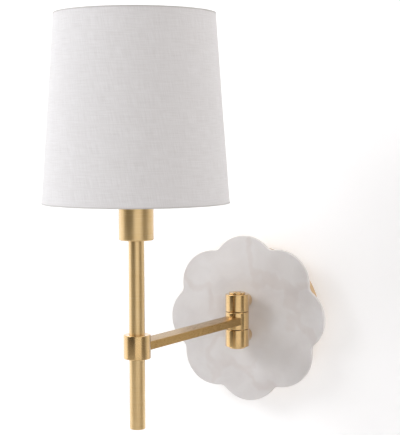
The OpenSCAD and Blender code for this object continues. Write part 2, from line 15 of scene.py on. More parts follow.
import bmesh
import bpy
import numpy as np
from mathutils import Matrix, Vector

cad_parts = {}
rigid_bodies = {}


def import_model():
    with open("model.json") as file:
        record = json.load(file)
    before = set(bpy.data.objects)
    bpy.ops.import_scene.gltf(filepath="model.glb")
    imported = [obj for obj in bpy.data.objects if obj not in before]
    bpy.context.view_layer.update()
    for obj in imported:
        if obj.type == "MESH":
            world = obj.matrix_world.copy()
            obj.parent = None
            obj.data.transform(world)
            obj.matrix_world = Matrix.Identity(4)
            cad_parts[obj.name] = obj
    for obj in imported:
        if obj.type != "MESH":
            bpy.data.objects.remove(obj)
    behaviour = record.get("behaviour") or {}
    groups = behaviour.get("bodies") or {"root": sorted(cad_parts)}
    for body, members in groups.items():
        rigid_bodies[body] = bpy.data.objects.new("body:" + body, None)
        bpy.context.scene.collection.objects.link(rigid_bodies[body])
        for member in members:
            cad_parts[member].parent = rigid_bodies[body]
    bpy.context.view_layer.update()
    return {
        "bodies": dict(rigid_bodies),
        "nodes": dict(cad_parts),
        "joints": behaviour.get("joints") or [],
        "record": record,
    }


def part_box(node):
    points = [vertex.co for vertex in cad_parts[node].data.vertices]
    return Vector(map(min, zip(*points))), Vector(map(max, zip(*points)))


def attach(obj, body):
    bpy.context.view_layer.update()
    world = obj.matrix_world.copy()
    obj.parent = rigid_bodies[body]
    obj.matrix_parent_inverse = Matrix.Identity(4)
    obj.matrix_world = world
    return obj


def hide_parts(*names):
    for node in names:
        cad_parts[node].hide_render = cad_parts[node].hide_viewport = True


LOG = logging.getLogger("sconce")
MM = 0.001
Point = tuple[float, float]
# A corner of an outline: two coordinates and the radius that rounds it
Corner = tuple[float, float, float]
# Turns a lathed piece's own Z axis so that it stands out from the wall
UPRIGHT = Matrix.Rotation(math.radians(90), 4, "X")


class Body(str, Enum):
    """The two rigid bodies of the sconce."""

    WALL_PLATE = "wall_plate"
    SWING_ARM = "swing_arm"


class Grain(Enum):
    """Which way the brushing runs on a metal piece, as lines per metre of the pattern along X, Y and Z."""

    ROUND_Z = (60.0, 60.0, 2600.0)
    ALONG_Y = (2600.0, 60.0, 2600.0)
    FLAT = (90.0, 2000.0, 90.0)


# ---------- small tools ----------


def linear(hex_colour: str, alpha: float = 1.0) -> tuple[float, float, float, float]:
    """Turns an sRGB hex colour into the linear colour that a shader takes.

    Args:
        hex_colour: Six hex digits with a leading hash.
        alpha: Opacity.

    Returns:
        Linear red, green and blue, and the alpha.
    """
    parts = [int(hex_colour[i : i + 2], 16) / 255 for i in (1, 3, 5)]
    r, g, b = (c / 12.92 if c <= 0.04045 else ((c + 0.055) / 1.055) ** 2.4 for c in parts)
    return (r, g, b, alpha)


def add_node(tree: bpy.types.NodeTree, kind: str, inputs: dict | None = None, **settings) -> bpy.types.Node:
    """Adds one node with its settings, and fills or links its inputs.

    Args:
        tree: The node tree.
        kind: The node's type name.
        inputs: Input name or index to a value, or to an output socket that is linked to it.
        **settings: The node's own properties.

    Returns:
        The new node.
    """
    node = tree.nodes.new(kind)
    for key, value in settings.items():
        setattr(node, key, value)
    for key, value in (inputs or {}).items():
        if isinstance(value, bpy.types.NodeSocket):
            tree.links.new(value, node.inputs[key])
        else:
            node.inputs[key].default_value = value
    return node


def span(node: str) -> tuple[Vector, Vector]:
    """Middle and size of a frame node's box."""
    low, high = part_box(node)
    return (low + high) / 2, high - low


def rounded(corners: list[Corner], steps: int = 6) -> list[Point]:
    """Rounds the corners of a closed outline.

    Args:
        corners: Each corner's two coordinates and its rounding radius, 0 for a sharp one.
        steps: Pieces that each rounding is made of.

    Returns:
        The outline's points.
    """
    points: list[Point] = []
    count = len(corners)
    for i, (x, y, radius) in enumerate(corners):
        here = np.array((x, y))
        if radius <= 0:
            points.append((x, y))
            continue
        before = np.array(corners[i - 1][:2]) - here
        after = np.array(corners[(i + 1) % count][:2]) - here
        before /= np.linalg.norm(before)
        after /= np.linalg.norm(after)
        half = math.acos(float(np.clip(before @ after, -1, 1))) / 2
        middle = before + after
        centre = here + middle / np.linalg.norm(middle) * radius / math.sin(half)
        start = here + before * radius / math.tan(half) - centre
        end = here + after * radius / math.tan(half) - centre
        a0, a1 = math.atan2(start[1], start[0]), math.atan2(end[1], end[0])
        turn = (a1 - a0 + math.pi) % (2 * math.pi) - math.pi
        for k in range(steps + 1):
            a = a0 + turn * k / steps
            points.append((float(centre[0] + radius * math.cos(a)), float(centre[1] + radius * math.sin(a))))
    return points


def new_object(name: str, mesh: bpy.types.Mesh) -> bpy.types.Object:
    """Links a mesh to the scene as an object of that name.

    Args:
        name: The object's name.
        mesh: Its mesh.

    Returns:
        The new object.
    """
    piece = bpy.data.objects.new(name, mesh)
    bpy.context.scene.collection.objects.link(piece)
    return piece


def clean_mesh(mesh: bpy.types.Mesh, sharp_deg: float = 38.0) -> bpy.types.Mesh:
    """Closes seams and poles, points the faces outwards and shades smooth between sharp edges.

    Args:
        mesh: The mesh.
        sharp_deg: Edges steeper than this stay sharp.

    Returns:
        The same mesh.
    """
    work = bmesh.new()
    work.from_mesh(mesh)
    bmesh.ops.remove_doubles(work, verts=work.verts, dist=1e-6)
    bmesh.ops.dissolve_degenerate(work, edges=work.edges, dist=1e-7)
    bmesh.ops.recalc_face_normals(work, faces=work.faces)
    work.to_mesh(mesh)
    work.free()
    mesh.shade_smooth()
    mesh.set_sharp_from_angle(angle=math.radians(sharp_deg))
    return mesh


def lathe(
    name: str, outline: list[Point], segments: int = 160, axis: Matrix | None = None
) -> bpy.types.Object:
    """Turns a closed outline of radius and height about Z.

    Args:
        name: The piece's name.
        outline: Points of radius and height.
        segments: Divisions round the axis.
        axis: Where the turned piece's Z axis goes.

    Returns:
        The new piece.
    """
    rows, ring = len(outline), np.array(outline, float)
    angle = np.linspace(0, 2 * math.pi, segments, endpoint=False)
    x = np.cos(angle)[:, None] * ring[None, :, 0]
    y = np.sin(angle)[:, None] * ring[None, :, 0]
    z = np.broadcast_to(ring[None, :, 1], x.shape)
    points = np.stack([x, y, z], axis=-1).reshape(-1, 3)
    faces = []
    for i in range(segments):
        here, there = i * rows, (i + 1) % segments * rows
        faces += [(here + j, here + (j + 1) % rows, there + (j + 1) % rows, there + j) for j in range(rows)]
    mesh = bpy.data.meshes.new(name)
    mesh.from_pydata(points.tolist(), [], faces)
    if axis is not None:
        mesh.transform(axis)
    return new_object(name, clean_mesh(mesh))


def tube_of(
    name: str, outer: list[Point], inner: list[Point], length: float, place: Matrix
) -> bpy.types.Object:
    """A straight tube between two outlines, which runs along its own Z.

    Args:
        name: The piece's name.
        outer: The outside outline.
        inner: The inside outline, with as many points.
        length: Length of the tube.
        place: Where the tube's own frame goes.

    Returns:
        The new piece.
    """
    n = len(outer)
    rings = [(outer, 0.0), (outer, length), (inner, length), (inner, 0.0)]
    points = [(x, y, z) for outline, z in rings for x, y in outline]
    faces = [
        (r * n + i, r * n + (i + 1) % n, (r + 1) % 4 * n + (i + 1) % n, (r + 1) % 4 * n + i)
        for r in range(4)
        for i in range(n)
    ]
    mesh = bpy.data.meshes.new(name)
    mesh.from_pydata(points, [], faces)
    mesh.transform(place)
    return new_object(name, clean_mesh(mesh, 30))


# ---------- finishes ----------


@dataclass(frozen=True)
class Finish:
    """What every finish has: its colour, and how it takes light."""

    name: str
    colour: str
    roughness: float = 0.5
    metallic: float = 0.0

    def start(self) -> tuple[bpy.types.Material, bpy.types.NodeTree, bpy.types.Node]:
        """Makes the material with its shader.

        Returns:
            The material, its node tree and its Principled shader.
        """
        material = bpy.data.materials.new(self.name)
        material.use_nodes = True
        shader = material.node_tree.nodes["Principled BSDF"]
        shader.inputs["Base Color"].default_value = linear(self.colour)
        shader.inputs["Roughness"].default_value = self.roughness
        shader.inputs["Metallic"].default_value = self.metallic
        return material, material.node_tree, shader

    def mottle(
        self, tree: bpy.types.NodeTree, stretch: tuple, scale: float, detail: float = 3.0
    ) -> bpy.types.Node:
        """A noise pattern on Object coordinates.

        Args:
            tree: The material's tree.
            stretch: Scale of the coordinates along X, Y and Z.
            scale: The noise's own scale.
            detail: Octaves of the noise.

        Returns:
            The noise node.
        """
        place = add_node(tree, "ShaderNodeTexCoord")
        mapping = add_node(tree, "ShaderNodeMapping", {"Vector": place.outputs["Object"], "Scale": stretch})
        pattern = {"Vector": mapping.outputs["Vector"], "Scale": scale, "Detail": detail}
        return add_node(tree, "ShaderNodeTexNoise", pattern)

    def ramp(self, tree: bpy.types.NodeTree, factor: bpy.types.NodeSocket, stops: list) -> bpy.types.Node:
        """A colour ramp from positions to hex colours.

        Args:
            tree: The material's tree.
            factor: What the ramp reads.
            stops: Pairs of a position and a hex colour.

        Returns:
            The ramp node.
        """
        node = add_node(tree, "ShaderNodeValToRGB", {"Fac": factor})
        for i, (position, colour) in enumerate(stops):
            stop = node.color_ramp.elements[i] if i < 2 else node.color_ramp.elements.new(position)
            stop.position, stop.color = position, linear(colour)
        return node

    def gloss(
        self, shader: bpy.types.Node, pattern: bpy.types.NodeSocket, below: float, above: float
    ) -> None:
        """Lets a pattern vary the roughness about the finish's own.

        Args:
            shader: The Principled shader.
            pattern: A pattern from 0 to 1.
            below: How far the roughness falls at 0.
            above: How far it rises at 1.
        """
        tree = shader.id_data
        ends = {"Value": pattern, "To Min": self.roughness - below, "To Max": self.roughness + above}
        rough = add_node(tree, "ShaderNodeMapRange", ends)
        tree.links.new(rough.outputs["Result"], shader.inputs["Roughness"])

    def stain(self, shader: bpy.types.Node, base: bpy.types.Node, over: bpy.types.Node, share: float) -> None:
        """Feeds the base colour with one ramp multiplied by another.

        Args:
            shader: The Principled shader.
            base: The ramp of the main colour.
            over: The ramp that darkens it.
            share: How much of the darkening shows.
        """
        tree = shader.id_data
        colours = {0: share, 6: base.outputs["Color"], 7: over.outputs["Color"]}
        mixed = add_node(tree, "ShaderNodeMix", colours, data_type="RGBA", blend_type="MULTIPLY")
        tree.links.new(mixed.outputs[2], shader.inputs["Base Color"])

    def bump(self, shader: bpy.types.Node, height: bpy.types.NodeSocket, depth: float, share: float) -> None:
        """Raises the surface by a height pattern.

        Args:
            shader: The Principled shader.
            height: The pattern.
            depth: Metres from the pattern's 0 to its 1.
            share: Strength of the effect.
        """
        tree = shader.id_data
        node = add_node(tree, "ShaderNodeBump", {"Height": height, "Distance": depth, "Strength": share})
        tree.links.new(node.outputs["Normal"], shader.inputs["Normal"])

    def make(self) -> bpy.types.Material:
        """Builds the material: here a smooth moulded surface with a faint mottle.

        Returns:
            The material.
        """
        material, tree, shader = self.start()
        noise = self.mottle(tree, (1, 1, 1), 300.0)
        self.gloss(shader, noise.outputs["Fac"], 0.05, 0.06)
        self.bump(shader, noise.outputs["Fac"], 0.00005, 0.25)
        return material


@dataclass(frozen=True)
class BrushedBrass(Finish):
    """Lacquered brass brushed on a belt or a lathe: hairlines that blur each reflection along one way."""

    grain: Grain = Grain.ROUND_Z
    worn: str = "#E8C68C"
    lacquer: float = 1.0

    def make(self) -> bpy.types.Material:
        """Hairlines vary the gloss and the tone. Real ones are 0.05 mm; these are 0.4 mm so that they show.

        Returns:
            The material.
        """
        material, tree, shader = self.start()
        lines = self.mottle(tree, self.grain.value, 1.0, 4.0)
        cloud = self.mottle(tree, (1, 1, 1), 34.0, 2.0)
        tone = self.ramp(tree, lines.outputs["Fac"], [(0.25, self.colour), (0.8, self.worn)])
        patina = self.ramp(tree, cloud.outputs["Fac"], [(0.35, "#F1E6D2"), (0.75, "#FFFFFF")])
        self.stain(shader, tone, patina, 0.35)
        self.gloss(shader, lines.outputs["Fac"], 0.05, 0.07)
        shader.inputs["Anisotropic"].default_value = 0.35
        shader.inputs["Coat Weight"].default_value = self.lacquer
        shader.inputs["Coat Roughness"].default_value = 0.2
        self.bump(shader, lines.outputs["Fac"], 0.00002, 0.35)
        return material


@dataclass(frozen=True)
class Metal(Finish):
    """Plated or machined metal that hides behind the show pieces: even, with a faint turned mottle."""

    def make(self) -> bpy.types.Material:
        """A cloudy gloss, as zinc plate and raw brass have.

        Returns:
            The material.
        """
        material, tree, shader = self.start()
        noise = self.mottle(tree, (1, 1, 1), 900.0)
        self.gloss(shader, noise.outputs["Fac"], 0.08, 0.1)
        self.bump(shader, noise.outputs["Fac"], 0.00003, 0.2)
        return material


@dataclass(frozen=True)
class Alabaster(Finish):
    """Honed white alabaster: cloudy, slightly see-through stone with soft grey drifts."""

    def make(self) -> bpy.types.Material:
        """Drifts of 20 to 40 mm in grey and cream, a fine crystal sparkle, and light that sinks in.

        Returns:
            The material.
        """
        material, tree, shader = self.start()
        warp = self.mottle(tree, (1, 1, 1), 14.0, 3.0)
        place = add_node(tree, "ShaderNodeTexCoord")
        shifted = add_node(
            tree,
            "ShaderNodeVectorMath",
            {0: warp.outputs["Color"], 1: (0.05, 0.05, 0.05), 2: place.outputs["Object"]},
            operation="MULTIPLY_ADD",
        )
        cloud = add_node(
            tree, "ShaderNodeTexNoise", {"Vector": shifted.outputs["Vector"], "Scale": 26.0, "Detail": 5.0}
        )
        vein = add_node(
            tree,
            "ShaderNodeTexWave",
            {
                "Vector": shifted.outputs["Vector"],
                "Scale": 5.0,
                "Distortion": 9.0,
                "Detail": 4.0,
                "Detail Scale": 2.2,
            },
            wave_type="BANDS",
            bands_direction="DIAGONAL",
        )
        drifts = [(0.3, "#DEDAD8"), (0.52, self.colour), (0.75, "#ECEAE9")]
        base = self.ramp(tree, cloud.outputs["Fac"], drifts)
        line = self.ramp(tree, vein.outputs["Fac"], [(0.0, "#F6F2F0"), (0.12, "#FFFFFF")])
        self.stain(shader, base, line, 0.6)
        shader.inputs["Subsurface Weight"].default_value = 0.12
        shader.inputs["Subsurface Radius"].default_value = (0.004, 0.0037, 0.0034)
        grit = self.mottle(tree, (1, 1, 1), 700.0)
        self.gloss(shader, grit.outputs["Fac"], 0.06, 0.06)
        self.bump(shader, cloud.outputs["Fac"], 0.0001, 0.12)
        return material


@dataclass(frozen=True)
class Woven(Finish):
    """A woven cloth: threads over and under each other, with slubs, and a soft sheen at grazing angles.

    Each thread changes along its length over warp_run or weft_run times its own width.
    """

    thread_mm: float = 1.0
    sheen: float = 0.25
    shadow: str = "#E9E7E6"
    warp_run: float = 14
    weft_run: float = 18

    def make(self) -> bpy.types.Material:
        """Threads follow the piece's own UV map in metres. The real ones are 0.4 mm and wouldn't show.

        Returns:
            The material.
        """
        material, tree, shader = self.start()
        place = add_node(tree, "ShaderNodeUVMap", uv_map="weave")
        per_metre = 1000 / self.thread_mm
        threads = []
        warp = (per_metre, per_metre / self.warp_run, 1.0)
        weft = (per_metre / self.weft_run, per_metre, 1.0)
        for stretch in (warp, weft):
            turned = add_node(tree, "ShaderNodeMapping", {"Vector": place.outputs["UV"], "Scale": stretch})
            pattern = {"Vector": turned.outputs["Vector"], "Scale": 1.0, "Detail": 2.0}
            threads.append(add_node(tree, "ShaderNodeTexNoise", pattern))
        both = {i: thread.outputs["Fac"] for i, thread in enumerate(threads)}
        height = add_node(tree, "ShaderNodeMath", both, operation="ADD")
        half = add_node(tree, "ShaderNodeMath", {0: height.outputs["Value"], 1: 0.5}, operation="MULTIPLY")
        tone = self.ramp(tree, half.outputs["Value"], [(0.3, self.shadow), (0.7, self.colour)])
        tree.links.new(tone.outputs["Color"], shader.inputs["Base Color"])
        shader.inputs["Sheen Weight"].default_value = self.sheen
        shader.inputs["Sheen Roughness"].default_value = 0.5
        shader.inputs["Specular IOR Level"].default_value = 0.2
        self.bump(shader, half.outputs["Value"], 0.00016, 0.3)
        return material


@dataclass(frozen=True)
class Felt(Finish):
    """Pressed wool felt: matted fibres, no shine."""

    def make(self) -> bpy.types.Material:
        """Fibres of about 1 mm in two greys.

        Returns:
            The material.
        """
        material, tree, shader = self.start()
        noise = self.mottle(tree, (1, 1, 1), 1100.0, 6.0)
        tone = self.ramp(tree, noise.outputs["Fac"], [(0.35, self.colour), (0.7, "#585652")])
        tree.links.new(tone.outputs["Color"], shader.inputs["Base Color"])
        shader.inputs["Sheen Weight"].default_value = 0.5
        self.bump(shader, noise.outputs["Fac"], 0.0002, 0.6)
        return material


@dataclass(frozen=True)
class Glass(Finish):
    """Blown glass with an inner frost: light goes through, shapes behind it blur."""

    clear: float = 0.75

    def make(self) -> bpy.types.Material:
        """Frost that is a little uneven, as an acid bath leaves it.

        Returns:
            The material.
        """
        material, tree, shader = self.start()
        shader.inputs["Transmission Weight"].default_value = self.clear
        shader.inputs["IOR"].default_value = 1.5
        noise = self.mottle(tree, (1, 1, 1), 160.0)
        self.gloss(shader, noise.outputs["Fac"], 0.05, 0.08)
        return material


BRASS_COLOUR = "#DDB676"
FINISHES: dict[str, Finish] = {
    # Lathe-brushed brass under clear lacquer: hairlines run round the piece, so highlights stand upright
    "brass_turned": BrushedBrass("brushed_brass_turned", BRASS_COLOUR, 0.2, 1.0, Grain.ROUND_Z),
    # The same brass with a softer brushing, as the drawn stem and the spun cup have; its colour is painted
    # lighter than the turned brass, as painted light on the stem and the cup
    "brass_drawn_painted_light": BrushedBrass("brushed_brass_drawn_painted_light", "#E6C283", 0.34, 1.0, Grain.ROUND_Z, "#EFD29C"),
    # Belt-brushed brass: hairlines run along the bar. Its colour is painted darker, and left without lacquer,
    # as painted shade for the darker reflections along the bar
    "brass_bar_painted_dark": BrushedBrass("brushed_brass_bar_painted_dark", "#A5844F", 0.27, 1.0, Grain.ALONG_Y, "#B69660", 0.0),
    # Spun brass sheet
    "brass_spun": BrushedBrass("spun_brass_sheet", "#CFA765", 0.3, 1.0, Grain.FLAT),
    # Machined brass, not lacquered: duller and redder
    "brass_plain": Metal("machined_brass", "#B08B4C", 0.34, 1.0),
    # Zinc plate: bluish grey with a cloudy gloss
    "zinc": Metal("zinc_plated_steel", "#BFC3C6", 0.32, 1.0),
    # Rolled aluminium of the screw shells: bright and soft
    "aluminium": Metal("rolled_aluminium", "#CFCFCC", 0.28, 1.0),
    # Tinned contact: dull solder grey
    "solder": Metal("tinned_contact", "#8E8B84", 0.45, 1.0),
    # Green dyed screw head, the usual mark of the ground
    "green_screw": Metal("green_dyed_brass", "#4F8A48", 0.35, 0.6),
    # Extruded PVC on the leads: smooth, with a soft highlight along each one
    "green_wire": Finish("green_pvc_insulation", "#2F6E3C", 0.42),
    "black_wire": Finish("black_pvc_insulation", "#1B1B1E", 0.4),
    "white_wire": Finish("white_pvc_insulation", "#E9E7E1", 0.42),
    # Moulded thermoplastic of the twist-on connectors
    "orange": Finish("moulded_orange_nylon", "#D9772A", 0.45),
    # Moulded nylon of the washers: milky and half dull
    "nylon": Finish("moulded_nylon_washer", "#E4E0D4", 0.5),
    # Compression moulded phenolic: near black with a low gloss
    "phenolic": Finish("black_phenolic", "#232225", 0.38),
    # Powder coated wire: soft white paint on steel
    "wire_paint": Finish("white_powder_coat", "#EDECE8", 0.5),
    # Pressure sensitive styrene that stiffens the cloth
    "styrene": Finish("white_styrene_lining", "#F4F2ED", 0.55),
    # Honed stone: pale grey drifts in white, with a dull, wide highlight
    "alabaster": Alabaster("honed_alabaster", "#E6E3E1", 0.42),
    # Bleached linen: a fine grid of uneven threads, and a tighter one on the rim tapes, whose greyer colour is
    # painted shade along the rolled rims
    "linen": Woven("white_linen_cloth", "#F7F6F6", 0.85),
    "tape": Woven("white_linen_tape_painted_shade", "#E6E4E2", 0.85, thread_mm=0.7, sheen=0.2, shadow="#D2CFCC"),
    # Wool felt: dark and without any highlight
    "felt": Felt("grey_wool_felt", "#3A3937", 0.95),
    # Acid frosted bulb, so nothing behind it is sharp, and the clear stem inside it
    "frosted": Glass("frosted_bulb_glass", "#F7F5F0", 0.4, 0.0, 0.75),
    "clear": Glass("clear_glass", "#FFFFFF", 0.05, 0.0, 0.95),
    # Phosphor coated filament strips, unlit
    "phosphor": Finish("yellow_phosphor_coating", "#E9B24C", 0.6),
}


class Wardrobe:
    """Makes each finish once and dresses pieces with it."""

    def __init__(self) -> None:
        """Starts with no material made."""
        self.made: dict[str, bpy.types.Material] = {}

    def material(self, key: str) -> bpy.types.Material:
        """The material of a finish, made when it is first asked for.

        Args:
            key: Key of the finish.

        Returns:
            The material.
        """
        if key not in self.made:
            self.made[key] = FINISHES[key].make()
        return self.made[key]

    def dress(self, piece: bpy.types.Object, key: str) -> None:
        """Gives a piece one finish in all its slots.

        Args:
            piece: The piece.
            key: Key of the finish.
        """
        if not piece.material_slots:
            piece.data.materials.append(self.material(key))
        for slot in piece.material_slots:
            slot.link = "OBJECT"
            slot.material = self.material(key)


@dataclass
class Workshop:
    """What the sub-assemblies share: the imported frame, the finishes and the lamp's main lines."""

    frame: dict
    wardrobe: Wardrobe
    hinge: Vector = field(init=False)
    stem: Vector = field(init=False)

    def __post_init__(self) -> None:
        """Reads the hinge axis from the joint and the stem axis from its tube."""
        self.hinge = Vector(self.frame["joints"][0]["pos_m"])
        middle, _ = span("stem_tube")
        self.stem = Vector((middle.x, middle.y, 0))

    def along_arm(self) -> Matrix:
        """A frame whose Z runs from the hinge axis to the stem axis, and whose Y is up.

        Returns:
            The frame, with its origin on the hinge axis.
        """
        way = (self.stem - self.hinge).normalized()
        side = Vector((0, 0, 1)).cross(way)
        return Matrix.Translation(self.hinge) @ Matrix((side, (0, 0, 1), way)).transposed().to_4x4()

    def at_stem(self, z: float = 0.0) -> Matrix:
        """The stem's axis at a height."""
        return Matrix.Translation((self.stem.x, self.stem.y, z))

    def settle(
        self, piece: bpy.types.Object, body: Body, finish: str, slot: str, *nodes: str
    ) -> bpy.types.Object:
        """Dresses a finished piece, ties it to its body, and hides the frame nodes that it stands for.

        Args:
            piece: The finished piece.
            body: The body that it moves with.
            finish: Key of its finish.
            slot: The record's material slot. Not used.
            *nodes: The frame nodes that it stands for.

        Returns:
            The same piece.
        """
        self.wardrobe.dress(piece, finish)
        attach(piece, body.value)
        if nodes:
            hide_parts(*nodes)
        LOG.info("%s: %d faces, rides on %s", piece.name, len(piece.data.polygons), body.value)
        return piece


# ---------- geometry trees ----------


class GeometryTree:
    """A Geometry Nodes tree with named inputs, which ends as one plain mesh."""

    def __init__(self, name: str) -> None:
        """Starts an empty tree.

        Args:
            name: The tree's name.
        """
        self.tree = bpy.data.node_groups.new(name, "GeometryNodeTree")
        self.sockets: dict[str, str] = {}
        self.tree.interface.new_socket("Geometry", in_out="OUTPUT", socket_type="NodeSocketGeometry")
        self.inputs = self.tree.nodes.new("NodeGroupInput")
        self.output = self.tree.nodes.new("NodeGroupOutput")

    def size(self, name: str, whole: bool = False) -> bpy.types.NodeSocket:
        """Adds a named input.

        Args:
            name: The input's name.
            whole: Whether it is a whole number.

        Returns:
            Its socket inside the tree.
        """
        kind = "NodeSocketInt" if whole else "NodeSocketFloat"
        socket = self.tree.interface.new_socket(name, in_out="INPUT", socket_type=kind)
        self.sockets[name] = socket.identifier
        return self.inputs.outputs[name]

    def node(self, kind: str, inputs: dict | None = None, **settings) -> bpy.types.Node:
        """Adds one node to the tree."""
        return add_node(self.tree, kind, inputs, **settings)

    def rule(self, values: dict, steps: list[tuple]) -> dict:
        """Works out a table of named sums.

        Args:
            values: Names to sockets or numbers.
            steps: Rows of a new name, a Math operation and its arguments, as names or numbers.

        Returns:
            The same dict with each new name's socket.
        """
        for name, operation, *arguments in steps:
            filled = {i: values[a] if isinstance(a, str) else a for i, a in enumerate(arguments)}
            values[name] = self.node("ShaderNodeMath", filled, operation=operation).outputs["Value"]
        return values

    def finish(self, shape: bpy.types.NodeSocket, material: bpy.types.Material) -> None:
        """Ends the tree with real geometry that has its material.

        Args:
            shape: The geometry, with its instances.
            material: The material of all of it.
        """
        real = self.node("GeometryNodeRealizeInstances", {"Geometry": shape})
        shown = {"Geometry": real.outputs["Geometry"], "Material": material}
        dressed = self.node("GeometryNodeSetMaterial", shown)
        self.tree.links.new(dressed.outputs["Geometry"], self.output.inputs["Geometry"])

    def cast(self, name: str, sizes: dict, place: Matrix, sharp_deg: float = 38.0) -> bpy.types.Object:
        """Runs the tree with these sizes and keeps the result as a plain mesh.

        Args:
            name: The piece's name.
            sizes: Input names to values.
            place: Where the result goes.
            sharp_deg: Edges steeper than this stay sharp.

        Returns:
            The new piece, with no modifier.
        """
        carrier = new_object(name + "_carrier", bpy.data.meshes.new(name + "_carrier"))
        modifier = carrier.modifiers.new("tree", "NODES")
        modifier.node_group = self.tree
        for key, value in sizes.items():
            modifier[self.sockets[key]] = value
        graph = bpy.context.evaluated_depsgraph_get()
        mesh = bpy.data.meshes.new_from_object(carrier.evaluated_get(graph))
        carrier.modifiers.remove(modifier)
        bpy.data.objects.remove(carrier)
        mesh.name = name
        mesh.transform(place)
        return new_object(name, clean_mesh(mesh, sharp_deg))


